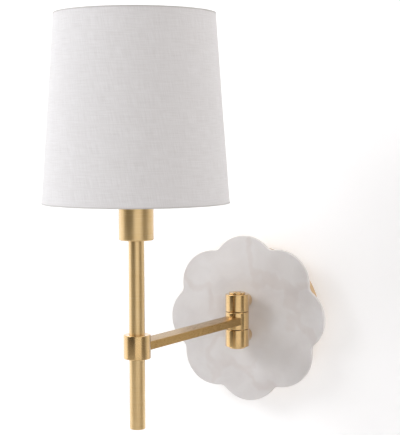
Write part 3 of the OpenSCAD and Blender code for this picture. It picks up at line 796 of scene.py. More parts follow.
def scallop_tree(material: bpy.types.Material) -> GeometryTree:
    """A slab with a scalloped outline and rounded edges.

    Each ring of the grid is the outline moved inwards: a lobe's arc gets smaller and a notch's arc gets
    larger about the same centres, so the edge is as round in the notches as it is on the lobes.

    Args:
        material: The slab's material.

    Returns:
        The tree, which lays the slab on its own XY plane with its back at Z 0.
    """
    tree = GeometryTree("scalloped_slab")
    names = ("Lobe Radius", "Lobe Circle", "Notch Radius", "Thickness", "Edge Radius", "Turn")
    sizes = {name: tree.size(name) for name in names}
    sizes |= {name: tree.size(name, whole=True) for name in ("Lobes", "Columns", "Rings")}
    columns = tree.node("ShaderNodeMath", {0: sizes["Columns"], 1: 1.0}, operation="ADD")
    grid = tree.node("GeometryNodeMeshGrid", {"Vertices X": columns.outputs[0], "Vertices Y": sizes["Rings"]})
    sizes["index"] = tree.node("GeometryNodeInputIndex").outputs["Index"]
    v = tree.rule(
        sizes,
        [
            # Column and ring of each point, and its angle inside its lobe
            ("ratio", "DIVIDE", "index", "Rings"),
            ("column", "FLOOR", "ratio"),
            ("ring", "MODULO", "index", "Rings"),
            ("share", "DIVIDE", "column", "Columns"),
            ("angle", "MULTIPLY", "share", math.tau),
            ("step", "DIVIDE", math.tau, "Lobes"),
            ("half", "MULTIPLY", "step", 0.5),
            ("shifted", "ADD", "angle", "half"),
            ("wrapped", "MODULO", "shifted", "step"),
            ("local", "SUBTRACT", "wrapped", "half"),
            ("off", "ABSOLUTE", "local"),
            # Edge rounding: how far in and how deep this ring is. The first and last two rings lie in the flat
            # faces, and the Rings - 5 steps between them go round the edge
            ("last", "SUBTRACT", "Rings", 5.0),
            ("from_two", "SUBTRACT", "ring", 2.0),
            ("round_share", "DIVIDE", "from_two", "last"),
            ("low", "MAXIMUM", "round_share", 0.0),
            ("clamped", "MINIMUM", "low", 1.0),
            ("round", "MULTIPLY", "clamped", math.pi),
            ("sine", "SINE", "round"),
            ("flat", "SUBTRACT", 1.0, "sine"),
            ("inset", "MULTIPLY", "flat", "Edge Radius"),
            ("cosine", "COSINE", "round"),
            ("front_half", "GREATER_THAN", "cosine", -0.0001),
            ("spare", "MULTIPLY", "Edge Radius", -2.0),
            ("straight", "ADD", "Thickness", "spare"),
            ("arc", "SUBTRACT", 1.0, "cosine"),
            ("arc_depth", "MULTIPLY", "arc", "Edge Radius"),
            ("back_half", "SUBTRACT", 1.0, "front_half"),
            ("wall", "MULTIPLY", "straight", "back_half"),
            ("depth", "ADD", "arc_depth", "wall"),
            ("z", "SUBTRACT", "Thickness", "depth"),
            # Centre of the notch's arc
            ("notch_side", "SINE", "half"),
            ("notch_across", "MULTIPLY", "Lobe Circle", "notch_side"),
            ("half_cos", "COSINE", "half"),
            ("notch_foot", "MULTIPLY", "Lobe Circle", "half_cos"),
            ("reach", "ADD", "Lobe Radius", "Notch Radius"),
            ("reach_sq", "MULTIPLY", "reach", "reach"),
            ("across_sq", "MULTIPLY", "notch_across", "notch_across"),
            ("rise_sq", "SUBTRACT", "reach_sq", "across_sq"),
            ("rise", "SQRT", "rise_sq"),
            ("notch_far", "ADD", "notch_foot", "rise"),
            # Radii of both arcs on this ring, and the angle where they meet
            ("lobe_r", "SUBTRACT", "Lobe Radius", "inset"),
            ("notch_r", "ADD", "Notch Radius", "inset"),
            ("meet", "DIVIDE", "lobe_r", "reach"),
            ("meet_far", "MULTIPLY", "rise", "meet"),
            ("meet_x", "ADD", "notch_foot", "meet_far"),
            ("meet_left", "SUBTRACT", 1.0, "meet"),
            ("meet_y", "MULTIPLY", "notch_across", "meet_left"),
            ("meet_off", "ARCTAN2", "meet_y", "meet_x"),
            ("meet_angle", "SUBTRACT", "half", "meet_off"),
            # Distance out on a lobe
            ("off_cos", "COSINE", "off"),
            ("off_sin", "SINE", "off"),
            ("lobe_near", "MULTIPLY", "Lobe Circle", "off_cos"),
            ("lobe_side", "MULTIPLY", "Lobe Circle", "off_sin"),
            ("lobe_side_sq", "MULTIPLY", "lobe_side", "lobe_side"),
            ("lobe_r_sq", "MULTIPLY", "lobe_r", "lobe_r"),
            ("lobe_gap", "SUBTRACT", "lobe_r_sq", "lobe_side_sq"),
            ("lobe_safe", "MAXIMUM", "lobe_gap", 0.0),
            ("lobe_root", "SQRT", "lobe_safe"),
            ("lobe_out", "ADD", "lobe_near", "lobe_root"),
            # Distance out in a notch
            ("back_off", "SUBTRACT", "half", "off"),
            ("notch_cos", "COSINE", "back_off"),
            ("notch_sin", "SINE", "back_off"),
            ("notch_near", "MULTIPLY", "notch_far", "notch_cos"),
            ("notch_lat", "MULTIPLY", "notch_far", "notch_sin"),
            ("notch_lat_sq", "MULTIPLY", "notch_lat", "notch_lat"),
            ("notch_r_sq", "MULTIPLY", "notch_r", "notch_r"),
            ("notch_gap", "SUBTRACT", "notch_r_sq", "notch_lat_sq"),
            ("notch_safe", "MAXIMUM", "notch_gap", 0.0),
            ("notch_root", "SQRT", "notch_safe"),
            ("notch_out", "SUBTRACT", "notch_near", "notch_root"),
            # Which of the two it is, and the flat faces' rings at 0, 0.6 and 1 of the way out from the middle
            ("in_notch", "GREATER_THAN", "off", "meet_angle"),
            ("change", "SUBTRACT", "notch_out", "lobe_out"),
            ("added", "MULTIPLY", "change", "in_notch"),
            ("outline", "ADD", "lobe_out", "added"),
            ("ring_last", "SUBTRACT", "Rings", 1.0),
            ("from_back", "SUBTRACT", "ring_last", "ring"),
            ("from_end", "MINIMUM", "ring", "from_back"),
            ("part", "MULTIPLY", "from_end", 0.6),
            ("inward", "MINIMUM", "part", 1.0),
            ("radius", "MULTIPLY", "outline", "inward"),
            ("turned", "ADD", "angle", "Turn"),
            ("cos_at", "COSINE", "turned"),
            ("sin_at", "SINE", "turned"),
            ("x", "MULTIPLY", "radius", "cos_at"),
            ("y", "MULTIPLY", "radius", "sin_at"),
        ],
    )
    place = tree.node("ShaderNodeCombineXYZ", {"X": v["x"], "Y": v["y"], "Z": v["z"]})
    moved = tree.node(
        "GeometryNodeSetPosition", {"Geometry": grid.outputs["Mesh"], "Position": place.outputs["Vector"]}
    )
    tree.finish(moved.outputs["Geometry"], material)
    return tree


def ring_stack_tree(material: bpy.types.Material) -> GeometryTree:
    """Equal wire rings above each other, such as the crests of a thread.

    Args:
        material: The rings' material.

    Returns:
        The tree.
    """
    tree = GeometryTree("ring_stack")
    count, pitch = tree.size("Count", whole=True), tree.size("Pitch")
    radius, wire = tree.size("Radius"), tree.size("Wire Radius")
    path = tree.node("GeometryNodeCurvePrimitiveCircle", {"Resolution": 96, "Radius": radius})
    section = tree.node("GeometryNodeCurvePrimitiveCircle", {"Resolution": 10, "Radius": wire})
    ring = tree.node(
        "GeometryNodeCurveToMesh", {"Curve": path.outputs["Curve"], "Profile Curve": section.outputs["Curve"]}
    )
    rise = tree.node("ShaderNodeCombineXYZ", {"Z": pitch})
    line = tree.node("GeometryNodeMeshLine", {"Count": count, "Offset": rise.outputs["Vector"]})
    copies = tree.node(
        "GeometryNodeInstanceOnPoints", {"Points": line.outputs["Mesh"], "Instance": ring.outputs["Mesh"]}
    )
    tree.finish(copies.outputs["Instances"], material)
    return tree


def rib_circle_tree(material: bpy.types.Material) -> GeometryTree:
    """Upright round ribs in a circle, such as the grip of a nut.

    Args:
        material: The ribs' material.

    Returns:
        The tree, with its ribs centred on Z 0.
    """
    tree = GeometryTree("rib_circle")
    count, radius = tree.size("Count", whole=True), tree.size("Radius")
    rib_radius, height = tree.size("Rib Radius"), tree.size("Height")
    rib = tree.node(
        "GeometryNodeMeshCylinder",
        {"Vertices": 12, "Radius": rib_radius, "Depth": height},
    )
    ring = tree.node("GeometryNodeMeshCircle", {"Vertices": count, "Radius": radius})
    copies = tree.node(
        "GeometryNodeInstanceOnPoints", {"Points": ring.outputs["Mesh"], "Instance": rib.outputs["Mesh"]}
    )
    tree.finish(copies.outputs["Instances"], material)
    return tree


def spoke_tree(material: bpy.types.Material) -> GeometryTree:
    """Straight wire spokes that fall outwards from a hub to a rim.

    Args:
        material: The wires' material.

    Returns:
        The tree.
    """
    tree = GeometryTree("wire_spokes")
    count, wire = tree.size("Count", whole=True), tree.size("Wire Radius")
    hub, rim, drop = tree.size("Hub Radius"), tree.size("Rim Radius"), tree.size("Drop")
    steps = [("fall", "MULTIPLY", "drop", -1.0), ("step", "DIVIDE", math.tau, "count")]
    v = tree.rule({"drop": drop, "count": count}, steps)
    start = tree.node("ShaderNodeCombineXYZ", {"X": hub})
    end = tree.node("ShaderNodeCombineXYZ", {"X": rim, "Z": v["fall"]})
    ends = {"Start": start.outputs["Vector"], "End": end.outputs["Vector"]}
    line = tree.node("GeometryNodeCurvePrimitiveLine", ends)
    section = tree.node("GeometryNodeCurvePrimitiveCircle", {"Resolution": 20, "Radius": wire})
    spoke = tree.node(
        "GeometryNodeCurveToMesh",
        {"Curve": line.outputs["Curve"], "Profile Curve": section.outputs["Curve"], "Fill Caps": True},
    )
    points = tree.node("GeometryNodeMeshLine", {"Count": count, "Offset": (0.0, 0.0, 0.0)})
    index = tree.node("GeometryNodeInputIndex")
    turn = tree.node("ShaderNodeMath", {0: index.outputs["Index"], 1: v["step"]}, operation="MULTIPLY")
    rotation = tree.node("ShaderNodeCombineXYZ", {"Z": turn.outputs["Value"]})
    turned = {"Points": points.outputs["Mesh"], "Instance": spoke.outputs["Mesh"]}
    turned["Rotation"] = rotation.outputs["Vector"]
    copies = tree.node("GeometryNodeInstanceOnPoints", turned)
    tree.finish(copies.outputs["Instances"], material)
    return tree


# ---------- sub-assemblies ----------


@dataclass
class WallPlate:
    """The canopy pan, its felt, the stone in front of it and the hardware behind."""

    shop: Workshop
    lobes: int = 8
    lobe_radius: float = 36.75 * MM
    notch_radius: float = 9 * MM
    edge_radius: float = 1.5 * MM
    lobe_turn_deg: float = -2.7
    pan_sheet: float = 1.4 * MM
    grip_ribs: int = 10
    grip_radius: float = 5.0 * MM
    grip_rib_radius: float = 0.55 * MM
    grip_length: float = 5 * MM
    grip_height: float = 15.3 * MM
    connector_radius: float = 5.4 * MM

    def stone(self) -> None:
        """The scalloped slab, from its rule."""
        low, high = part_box("stone_plate")
        middle, _ = span("stone_plate")
        outer = self.outer_radius()
        tree = scallop_tree(self.shop.wardrobe.material("alabaster"))
        sizes = {
            "Lobes": self.lobes,
            "Lobe Radius": self.lobe_radius,
            "Lobe Circle": outer - self.lobe_radius,
            "Notch Radius": self.notch_radius,
            "Thickness": high.y - low.y,
            "Edge Radius": self.edge_radius,
            "Turn": math.radians(-self.lobe_turn_deg),
            "Columns": 480,
            "Rings": 21,
        }
        place = Matrix.Translation((middle.x, high.y, middle.z)) @ UPRIGHT
        piece = tree.cast("stone_slab", sizes, place, 50)
        self.shop.settle(piece, Body.WALL_PLATE, "alabaster", "alabaster", "stone_plate")

    def outer_radius(self) -> float:
        """Half the slab's width across opposite lobes, from its box and its turn."""
        _, size = span("stone_plate")
        return (size.x / 2 - self.lobe_radius) / math.cos(math.radians(self.lobe_turn_deg)) + self.lobe_radius

    def pan(self) -> None:
        """The spun brass pan with its rolled rim."""
        low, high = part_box("canopy_pan")
        radius, depth, sheet = (high.x - low.x) / 2, high.y - low.y, self.pan_sheet
        corners = [
            (0.0, depth, 0.0),
            (radius, depth, 1.6 * MM),
            (radius, 0.0, 0.5 * MM),
            (radius - sheet, 0.0, 0.5 * MM),
            (radius - sheet, depth - sheet, 0.9 * MM),
            (0.0, depth - sheet, 0.0),
        ]
        piece = lathe("canopy_shell", rounded(corners), 192, UPRIGHT)
        self.shop.settle(piece, Body.WALL_PLATE, "brass_spun", "brushed_brass", "canopy_pan")

    def felt(self) -> None:
        """The felt disc between the pan and the stone, laid flat."""
        low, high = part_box("felt_pad")
        radius = (high.x - low.x) / 2
        back, front = -high.y, -low.y
        corners = [(0.0, front, 0.0), (radius, front, 0.25 * MM), (radius, back, 0.25 * MM), (0.0, back, 0.0)]
        piece = lathe("felt_disc", rounded(corners, 3), 128, UPRIGHT)
        self.shop.settle(piece, Body.WALL_PLATE, "felt", "felt", "felt_pad")

    def connectors(self) -> None:
        """Grip ribs on the two twist-on connectors."""
        low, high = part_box("wire_connectors")
        tree = rib_circle_tree(self.shop.wardrobe.material("orange"))
        reach = (high.x - low.x) / 2 - self.connector_radius
        sizes = {
            "Count": self.grip_ribs,
            "Radius": self.grip_radius,
            "Rib Radius": self.grip_rib_radius,
            "Height": self.grip_length,
        }
        for side, x in (("left", -reach), ("right", reach)):
            place = Matrix.Translation((x, (low.y + high.y) / 2, self.grip_height))
            piece = tree.cast(f"connector_grip_{side}", sizes, place)
            self.shop.settle(piece, Body.WALL_PLATE, "orange", "orange_plastic")

    def build(self) -> None:
        """Builds every piece of the wall side."""
        self.stone()
        self.pan()
        self.felt()
        self.connectors()


@dataclass
class Hinge:
    """Three turned barrels on a pin, two caps, and the posts that hold them off the stone.

    A post reaches into the barrel's side: its corner lies at post_share of the barrel's radius to the side,
    and goes post_bite deeper. It starts post_sunk behind the stone's front.
    """

    shop: Workshop
    rim: float = 0.7 * MM
    bore: float = 5.05 * MM
    bore_rim: float = 0.3 * MM
    boss_share: float = 0.46
    boss_rise: float = 0.5 * MM
    groove_depth: float = 0.62 * MM
    post_rim: float = 0.5 * MM
    post_bore: float = 3.0 * MM
    shank: float = 4.8 * MM
    post_sunk: float = 0.5 * MM
    post_share: float = 0.62
    post_bite: float = 1.6 * MM

    def barrel(self, node: str, body: Body) -> None:
        """One barrel, bored for the pin, with softly broken rims.

        Args:
            node: The frame node that it stands for.
            body: The body that it moves with.
        """
        low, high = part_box(node)
        radius = self.barrel_radius()
        corners = [
            (self.bore, low.z, self.bore_rim),
            (radius, low.z, self.rim),
            (radius, high.z, self.rim),
            (self.bore, high.z, self.bore_rim),
        ]
        place = Matrix.Translation((self.shop.hinge.x, self.shop.hinge.y, 0))
        piece = lathe(node.replace("barrel", "hinge_knuckle"), rounded(corners, 8), 192, place)
        self.shop.settle(piece, body, "brass_turned", "brushed_brass", node)

    def barrel_radius(self) -> float:
        """Radius of the barrels, from the top one's box."""
        _, size = span("barrel_upper")
        return size.x / 2

    def cap(self, node: str) -> None:
        """A cap: a low rounded disc with a raised boss in its middle.

        Args:
            node: The frame node that it stands for.
        """
        low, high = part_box(node)
        up = high.z > 0
        radius, height = (high.x - low.x) / 2, high.z - low.z
        boss, shoulder = radius * self.boss_share, height - self.boss_rise
        corners = [
            (0.0, 0.0, 0.0),
            (radius, 0.0, 0.25 * MM),
            (radius, shoulder, 0.75 * MM),
            (boss + 0.9 * MM, shoulder, 0.0),
            (boss + 0.5 * MM, height - self.groove_depth, 0.12 * MM),
            (boss, shoulder, 0.1 * MM),
            (boss, height, 0.35 * MM),
            (0.0, height, 0.0),
        ]
        base = low.z if up else high.z
        turn = Matrix.Identity(4) if up else Matrix.Rotation(math.pi, 4, "X")
        place = Matrix.Translation((self.shop.hinge.x, self.shop.hinge.y, base)) @ turn
        piece = lathe(node.replace("cap", "pin_cap"), rounded(corners, 5), 128, place)
        self.shop.settle(piece, Body.WALL_PLATE, "brass_turned", "brushed_brass", node)

    def post(self, node: str) -> None:
        """A post: a round bar from the stone into the barrel's side, with its threaded shank behind.

        Args:
            node: The frame node that it stands for.
        """
        low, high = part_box(node)
        radius = (high.z - low.z) / 2
        stone_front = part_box("stone_plate")[0].y
        start = -(stone_front - self.post_sunk)
        saddle = self.barrel_radius() * math.cos(math.asin(self.post_share))
        end = -(self.shop.hinge.y + saddle - self.post_bite)
        corners = [
            (self.post_bore, -high.y, 0.0),
            (self.shank, -high.y, 0.4 * MM),
            (self.shank, start, 0.0),
            (radius, start, self.post_rim),
            (radius, end, 0.0),
            (self.post_bore, end, 0.0),
        ]
        place = Matrix.Translation((0, 0, (low.z + high.z) / 2)) @ UPRIGHT
        piece = lathe(node.replace("post", "hinge_post"), rounded(corners, 5), 128, place)
        self.shop.settle(piece, Body.WALL_PLATE, "brass_turned", "brushed_brass", node)

    def build(self) -> None:
        """Builds the hinge."""
        for node in ("barrel_upper", "barrel_lower"):
            self.barrel(node, Body.WALL_PLATE)
        self.barrel("barrel_middle", Body.SWING_ARM)
        for node in ("cap_top", "cap_bottom"):
            self.cap(node)
        for node in ("post_upper", "post_lower"):
            self.post(node)


@dataclass
class Arm:
    """The flat arm, the collar and the stem that it carries, and the cup on top.

    The bar's ends lie hinge_gap and stem_gap from the two axes, inside the barrel and the collar.
    """

    shop: Workshop
    width: float = 19.3 * MM
    wall: float = 1.4 * MM
    corner: float = 0.9 * MM
    stem_wall: float = 1.25 * MM
    hinge_gap: float = 8.2 * MM
    stem_gap: float = 8.6 * MM
    collar_mouth: float = 0.55 * MM
    collar_slack: float = 0.02 * MM
    cup_sheet: float = 1.0 * MM
    cup_floor: float = 1.4 * MM
    cup_hole: float = 5.0 * MM

    def bar(self) -> None:
        """The flat tube between the middle barrel and the collar."""
        _, size = span("arm_tube")
        height = size.z
        outer = self.section(self.width, height, self.corner)
        inner = self.section(self.width - 2 * self.wall, height - 2 * self.wall, 0.4 * MM)
        length = (self.shop.stem - self.shop.hinge).length
        start, end = self.hinge_gap, length - self.stem_gap
        place = self.shop.along_arm() @ Matrix.Translation((0, 0, start))
        piece = tube_of("arm_bar", outer, inner, end - start, place)
        # The bar's brass is painted darker than the rest, as painted shade
        self.shop.settle(piece, Body.SWING_ARM, "brass_bar_painted_dark", "brushed_brass", "arm_tube")

    def section(self, width: float, height: float, radius: float) -> list[Point]:
        """A rectangle with rounded corners."""
        x, y = width / 2, height / 2
        return rounded([(x, -y, radius), (x, y, radius), (-x, y, radius), (-x, -y, radius)], 5)

    def collar(self) -> None:
        """The collar that clamps the stem, with countersunk mouths."""
        low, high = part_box("collar")
        _, size = span("collar")
        radius = max(size.x, size.y) / 2
        bore, mouth = self.stem_radius() + self.collar_slack, self.collar_mouth
        corners = [
            (bore, low.z + mouth, 0.0),
            (bore + mouth, low.z, 0.15 * MM),
            (radius, low.z, 0.7 * MM),
            (radius, high.z, 0.7 * MM),
            (bore + mouth, high.z, 0.15 * MM),
            (bore, high.z - mouth, 0.0),
        ]
        piece = lathe("stem_collar", rounded(corners, 8), 192, self.shop.at_stem())
        self.shop.settle(piece, Body.SWING_ARM, "brass_turned", "brushed_brass", "collar")

    def stem_radius(self) -> float:
        """Outside radius of the stem."""
        _, size = span("stem_foot")
        return size.x / 2

    def stem(self) -> None:
        """The stem tube, with its plugged foot."""
        tube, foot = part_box("stem_tube"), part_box("stem_foot")
        radius = self.stem_radius()
        bore = radius - self.stem_wall
        corners = [
            (0.0, foot[0].z, 0.0),
            (radius, foot[0].z, 0.5 * MM),
            (radius, tube[1].z, 0.0),
            (bore, tube[1].z, 0.0),
            (bore, foot[1].z, 0.0),
            (0.0, foot[1].z, 0.0),
        ]
        piece = lathe("stem", rounded(corners, 6), 160, self.shop.at_stem())
        # The stem's brass is painted lighter than the turned brass, as painted light
        self.shop.settle(piece, Body.SWING_ARM, "brass_drawn_painted_light", "brushed_brass", "stem_tube", "stem_foot")

    def cup(self) -> None:
        """The spun cup round the lampholder."""
        low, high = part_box("socket_cup")
        radius, floor = (high.x - low.x) / 2, low.z + self.cup_floor
        inside = radius - self.cup_sheet
        corners = [
            (self.cup_hole, low.z, 0.0),
            (radius, low.z, 1.1 * MM),
            (radius, high.z, 0.3 * MM),
            (inside, high.z, 0.3 * MM),
            (inside, floor, 0.6 * MM),
            (self.cup_hole, floor, 0.0),
        ]
        piece = lathe("lampholder_cup", rounded(corners, 6), 192, self.shop.at_stem())
        # The cup's brass is painted lighter than the turned brass, as painted light
        self.shop.settle(piece, Body.SWING_ARM, "brass_drawn_painted_light", "brushed_brass", "socket_cup")

    def build(self) -> None:
        """Builds the arm, collar, stem and cup."""
        self.bar()
        self.collar()
        self.stem()
        self.cup()


@dataclass
class Head:
    """The lampholder's threads, the ribbed shade nut and the bulb."""

    shop: Workshop
    thread_pitch: float = 2.6 * MM
    thread_radius: float = 0.42 * MM
    skirt_radius: float = 17.5 * MM
    skirt_start: float = 0.9 * MM
    skirt_ends: float = 1.4 * MM
    base_turns: int = 6
    base_pitch: float = 3.6 * MM
    base_wire: float = 0.6 * MM
    base_start: float = 4 * MM
    nut_bore: float = 17.6 * MM
    nut_ribs: int = 44
    neck_radius: float = 13.4 * MM
    neck_length: float = 5 * MM
    glass_wall: float = 0.8 * MM

    def threads(self) -> None:
        """Crests of the threads on the lampholder's skirt and on the bulb's base."""
        _, holder_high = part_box("lampholder")
        _, nut_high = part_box("shade_nut")
        tree = ring_stack_tree(self.shop.wardrobe.material("phenolic"))
        room = holder_high.z - nut_high.z - self.skirt_ends
        sizes = {
            "Count": int(room // self.thread_pitch) + 1,
            "Pitch": self.thread_pitch,
            "Radius": self.skirt_radius,
            "Wire Radius": self.thread_radius,
        }
        place = self.shop.at_stem(nut_high.z + self.skirt_start)
        piece = tree.cast("skirt_thread", sizes, place)
        self.shop.settle(piece, Body.SWING_ARM, "phenolic", "phenolic")
        base_low, base_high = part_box("bulb_base")
        tree = ring_stack_tree(self.shop.wardrobe.material("aluminium"))
        sizes = {
            "Count": self.base_turns,
            "Pitch": self.base_pitch,
            "Radius": (base_high.x - base_low.x) / 2 - 0.35 * MM,
            "Wire Radius": self.base_wire,
        }
        piece = tree.cast("base_thread", sizes, self.shop.at_stem(base_low.z + self.base_start))
        self.shop.settle(piece, Body.SWING_ARM, "aluminium", "shell_aluminium")

    def shade_nut(self) -> None:
        """The nut that holds the shade down: a moulded ring with a ribbed grip."""
        low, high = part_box("shade_nut")
        radius = (high.x - low.x) / 2
        corners = [
            (self.nut_bore, low.z, 0.2 * MM),
            (radius - 0.5 * MM, low.z, 0.5 * MM),
            (radius - 0.5 * MM, high.z, 0.8 * MM),
            (self.nut_bore, high.z, 0.4 * MM),
        ]
        ring = lathe("shade_nut_ring", rounded(corners, 5), 128, self.shop.at_stem())
        self.shop.settle(ring, Body.SWING_ARM, "phenolic", "phenolic", "shade_nut")
        tree = rib_circle_tree(self.shop.wardrobe.material("phenolic"))
        height = high.z - low.z
        sizes = {
            "Count": self.nut_ribs,
            "Radius": radius - 0.55 * MM,
            "Rib Radius": 0.5 * MM,
            "Height": height * 0.8,
        }
        ribs = tree.cast("shade_nut_grip", sizes, self.shop.at_stem((low.z + high.z) / 2 - 0.2 * MM))
        self.shop.settle(ribs, Body.SWING_ARM, "phenolic", "phenolic")

    def bulb(self) -> None:
        """The bulb's glass: a thin blown wall with a smooth neck."""
        low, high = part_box("bulb_glass")
        radius, wall, neck = (high.x - low.x) / 2, self.glass_wall, self.neck_radius
        middle = high.z - radius
        outer = self.bulb_line(radius, neck, low.z, middle, high.z)
        inner = self.bulb_line(radius - wall, neck - wall, low.z + wall, middle, high.z - wall)
        outline = [(0.0, low.z), *outer, *reversed(inner), (0.0, low.z + wall)]
        piece = lathe("bulb_glass_shell", outline, 128, self.shop.at_stem())
        self.shop.settle(piece, Body.SWING_ARM, "frosted", "frosted_glass", "bulb_glass")

    def bulb_line(self, radius: float, neck: float, low: float, middle: float, top: float) -> list[Point]:
        """The bulb's outline from its neck to its crown.

        Args:
            radius: Widest radius.
            neck: Radius at the neck.
            low: Height of the neck's end.
            middle: Height of the widest place.
            top: Height of the crown.

        Returns:
            Points of radius and height.
        """
        points = [(neck, low)]
        start = low + self.neck_length
        for k in range(21):
            t = k / 20
            ease = t * t * (3 - 2 * t)
            points.append((neck + (radius - neck) * ease, start + (middle - start) * t))
        for k in range(1, 25):
            a = math.pi / 2 * k / 24
            points.append((max(radius * math.cos(a), 0.0), middle + (top - middle) * math.sin(a)))
        return points

    def build(self) -> None:
        """Builds the lampholder's details and the bulb."""
        self.threads()
        self.shade_nut()
        self.bulb()


@dataclass
class Shade:
    """A tapered drum of white linen on a stiff lining, taped over two wire rings."""

    shop: Workshop
    tape: float = 0.35 * MM
    linen: float = 0.6 * MM
    lining: float = 0.4 * MM
    glue: float = 0.05 * MM
    seam_width: float = 9 * MM
    seam_rise: float = 0.3 * MM
    hub_bore: float = 17.7 * MM
    hub_radius: float = 22.0 * MM
    hub_sheet: float = 1.5 * MM
    spoke_radius: float = 1.2 * MM
    columns: int = 288
    rows: int = 40
    bottom_z: float = field(init=False)
    bottom_r: float = field(init=False)
    top_z: float = field(init=False)
    top_r: float = field(init=False)
    axis: Vector = field(init=False)

    def __post_init__(self) -> None:
        """Reads the drum's size from its tapes."""
        low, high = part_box("hem_bottom")
        self.bottom_z, self.bottom_r = low.z, (high.x - low.x) / 2
        low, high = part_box("hem_top")
        self.top_z, tape_r = high.z, (high.x - low.x) / 2
        slope = (self.bottom_r - tape_r) / (high.z - self.bottom_z)
        self.top_r = tape_r - slope * (high.z - low.z) * 0.5
        self.axis = Vector((self.shop.stem.x, self.shop.stem.y, 0))

    def radius(self, z: float) -> float:
        """Outside radius of the drum at a height."""
        share = (z - self.bottom_z) / (self.top_z - self.bottom_z)
        return self.bottom_r + (self.top_r - self.bottom_r) * share

    def skin(
        self, name: str, z0: float, z1: float, depth: float, thick: float, seam: bool
    ) -> bpy.types.Object:
        """A closed thin skin that follows the drum, with a UV map in metres.

        Args:
            name: The piece's name.
            z0: Lower edge.
            z1: Upper edge.
            depth: How far its outer face lies inside the drum's outside.
            thick: Thickness.
            seam: Whether the cloth laps over itself at the back.

        Returns:
            The new piece.
        """
        n, rows = self.columns, self.rows
        m = rows + 1
        points, weave = [], []
        for layer in (0, 1):
            for j in range(m):
                z = z0 + (z1 - z0) * j / rows
                for i in range(n):
                    a = math.tau * i / n
                    r = self.radius(z) - depth - layer * thick
                    if seam and layer == 0:
                        r += self.lap(a) + self.ripple(a, z)
                    points.append((self.axis.x + r * math.sin(a), self.axis.y + r * math.cos(a), z))
                    weave.append((a * self.radius(z), z))
        faces = []
        for j in range(rows):
            for i in range(n):
                k = (i + 1) % n
                faces.append((j * n + i, (j + 1) * n + i, (j + 1) * n + k, j * n + k))
                b = m * n
                faces.append((b + j * n + i, b + j * n + k, b + (j + 1) * n + k, b + (j + 1) * n + i))
        for j, flip in ((0, False), (rows, True)):
            for i in range(n):
                k = (i + 1) % n
                quad = (j * n + i, j * n + k, m * n + j * n + k, m * n + j * n + i)
                faces.append(tuple(reversed(quad)) if flip else quad)
        mesh = bpy.data.meshes.new(name)
        mesh.from_pydata(points, [], faces)
        layer = mesh.uv_layers.new(name="weave")
        for face in mesh.polygons:
            corners = [mesh.loops[i].vertex_index for i in face.loop_indices]
            across = max(weave[v][0] for v in corners)
            for loop, v in zip(face.loop_indices, corners):
                u = weave[v][0]
                if across - u > math.pi * self.bottom_r:
                    u += math.tau * self.radius(points[v][2])
                layer.data[loop].uv = (u, weave[v][1])
        mesh.shade_smooth()
        mesh.set_sharp_from_angle(angle=math.radians(40))
        return new_object(name, mesh)

    def lap(self, angle: float) -> float:
        """Extra height of the lapped seam, which faces the wall and rises over 1.2 mm.

        Args:
            angle: Angle round the drum from its back.

        Returns:
            The height in metres.
        """
        off = abs((angle + math.pi) % math.tau - math.pi) * self.bottom_r
        edge = (self.seam_width / 2 - off) / (1.2 * MM)
        return self.seam_rise * min(max(edge + 0.5, 0.0), 1.0)

    def ripple(self, angle: float, z: float) -> float:
        """The slight unevenness of laminated cloth, under 0.1 mm."""
        return 0.04 * MM * math.sin(7 * angle + 40 * z) + 0.03 * MM * math.sin(17 * angle - 95 * z)

    def cloth(self) -> None:
        """The linen, stretched round the lining and lapped at the back."""
        low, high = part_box("shade_linen")
        piece = self.skin("linen_drum", low.z, high.z, self.tape, self.linen, True)
        self.shop.settle(piece, Body.SWING_ARM, "linen", "linen", "shade_linen")

    def stiffener(self) -> None:
        """The lining inside the linen."""
        low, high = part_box("shade_lining")
        depth = self.tape + self.linen + self.glue
        piece = self.skin("styrene_drum", low.z, high.z, depth, self.lining, False)
        self.shop.settle(piece, Body.SWING_ARM, "styrene", "styrene_lining", "shade_lining")

    def tapes(self) -> None:
        """The cloth tapes that bind both rims."""
        for node, bottom in (("hem_bottom", True), ("hem_top", False)):
            low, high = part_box(node)
            rim, end = (low.z, high.z) if bottom else (high.z, low.z)
            way = 1 if bottom else -1
            lip = rim + way * self.tape * 0.5
            inside = self.tape + self.linen + self.glue + self.lining
            skin = self.tape - self.glue
            outline = rounded(
                [
                    (self.radius(rim), rim, 0.14 * MM),
                    (self.radius(end), end, 0.1 * MM),
                    (self.radius(end) - skin, end, 0.0),
                    (self.radius(lip) - skin, lip, 0.0),
                    (self.radius(lip) - inside, lip, 0.0),
                    (self.radius(rim) - inside, rim, 0.05 * MM),
                ],
                3,
            )
            place = Matrix.Translation(self.axis)
            piece = lathe(node.replace("hem", "rim_tape"), outline, self.columns, place)
            self.ring_weave(piece)
            # The tapes' greyer finish is painted shade along the rims
            self.shop.settle(piece, Body.SWING_ARM, "tape", "linen_tape", node)

    def ring_weave(self, piece: bpy.types.Object) -> None:
        """A UV map in metres round the rim, for a tape's threads.

        Args:
            piece: The tape.
        """
        mesh = piece.data
        layer = mesh.uv_layers.new(name="weave")
        for face in mesh.polygons:
            angles = []
            for i in face.loop_indices:
                p = mesh.vertices[mesh.loops[i].vertex_index].co
                angles.append(math.atan2(p.x - self.axis.x, p.y - self.axis.y) % math.tau)
            top = max(angles)
            for i, a in zip(face.loop_indices, angles):
                a = a + math.tau if top - a > math.pi else a
                layer.data[i].uv = (a * self.bottom_r, mesh.vertices[mesh.loops[i].vertex_index].co.z)

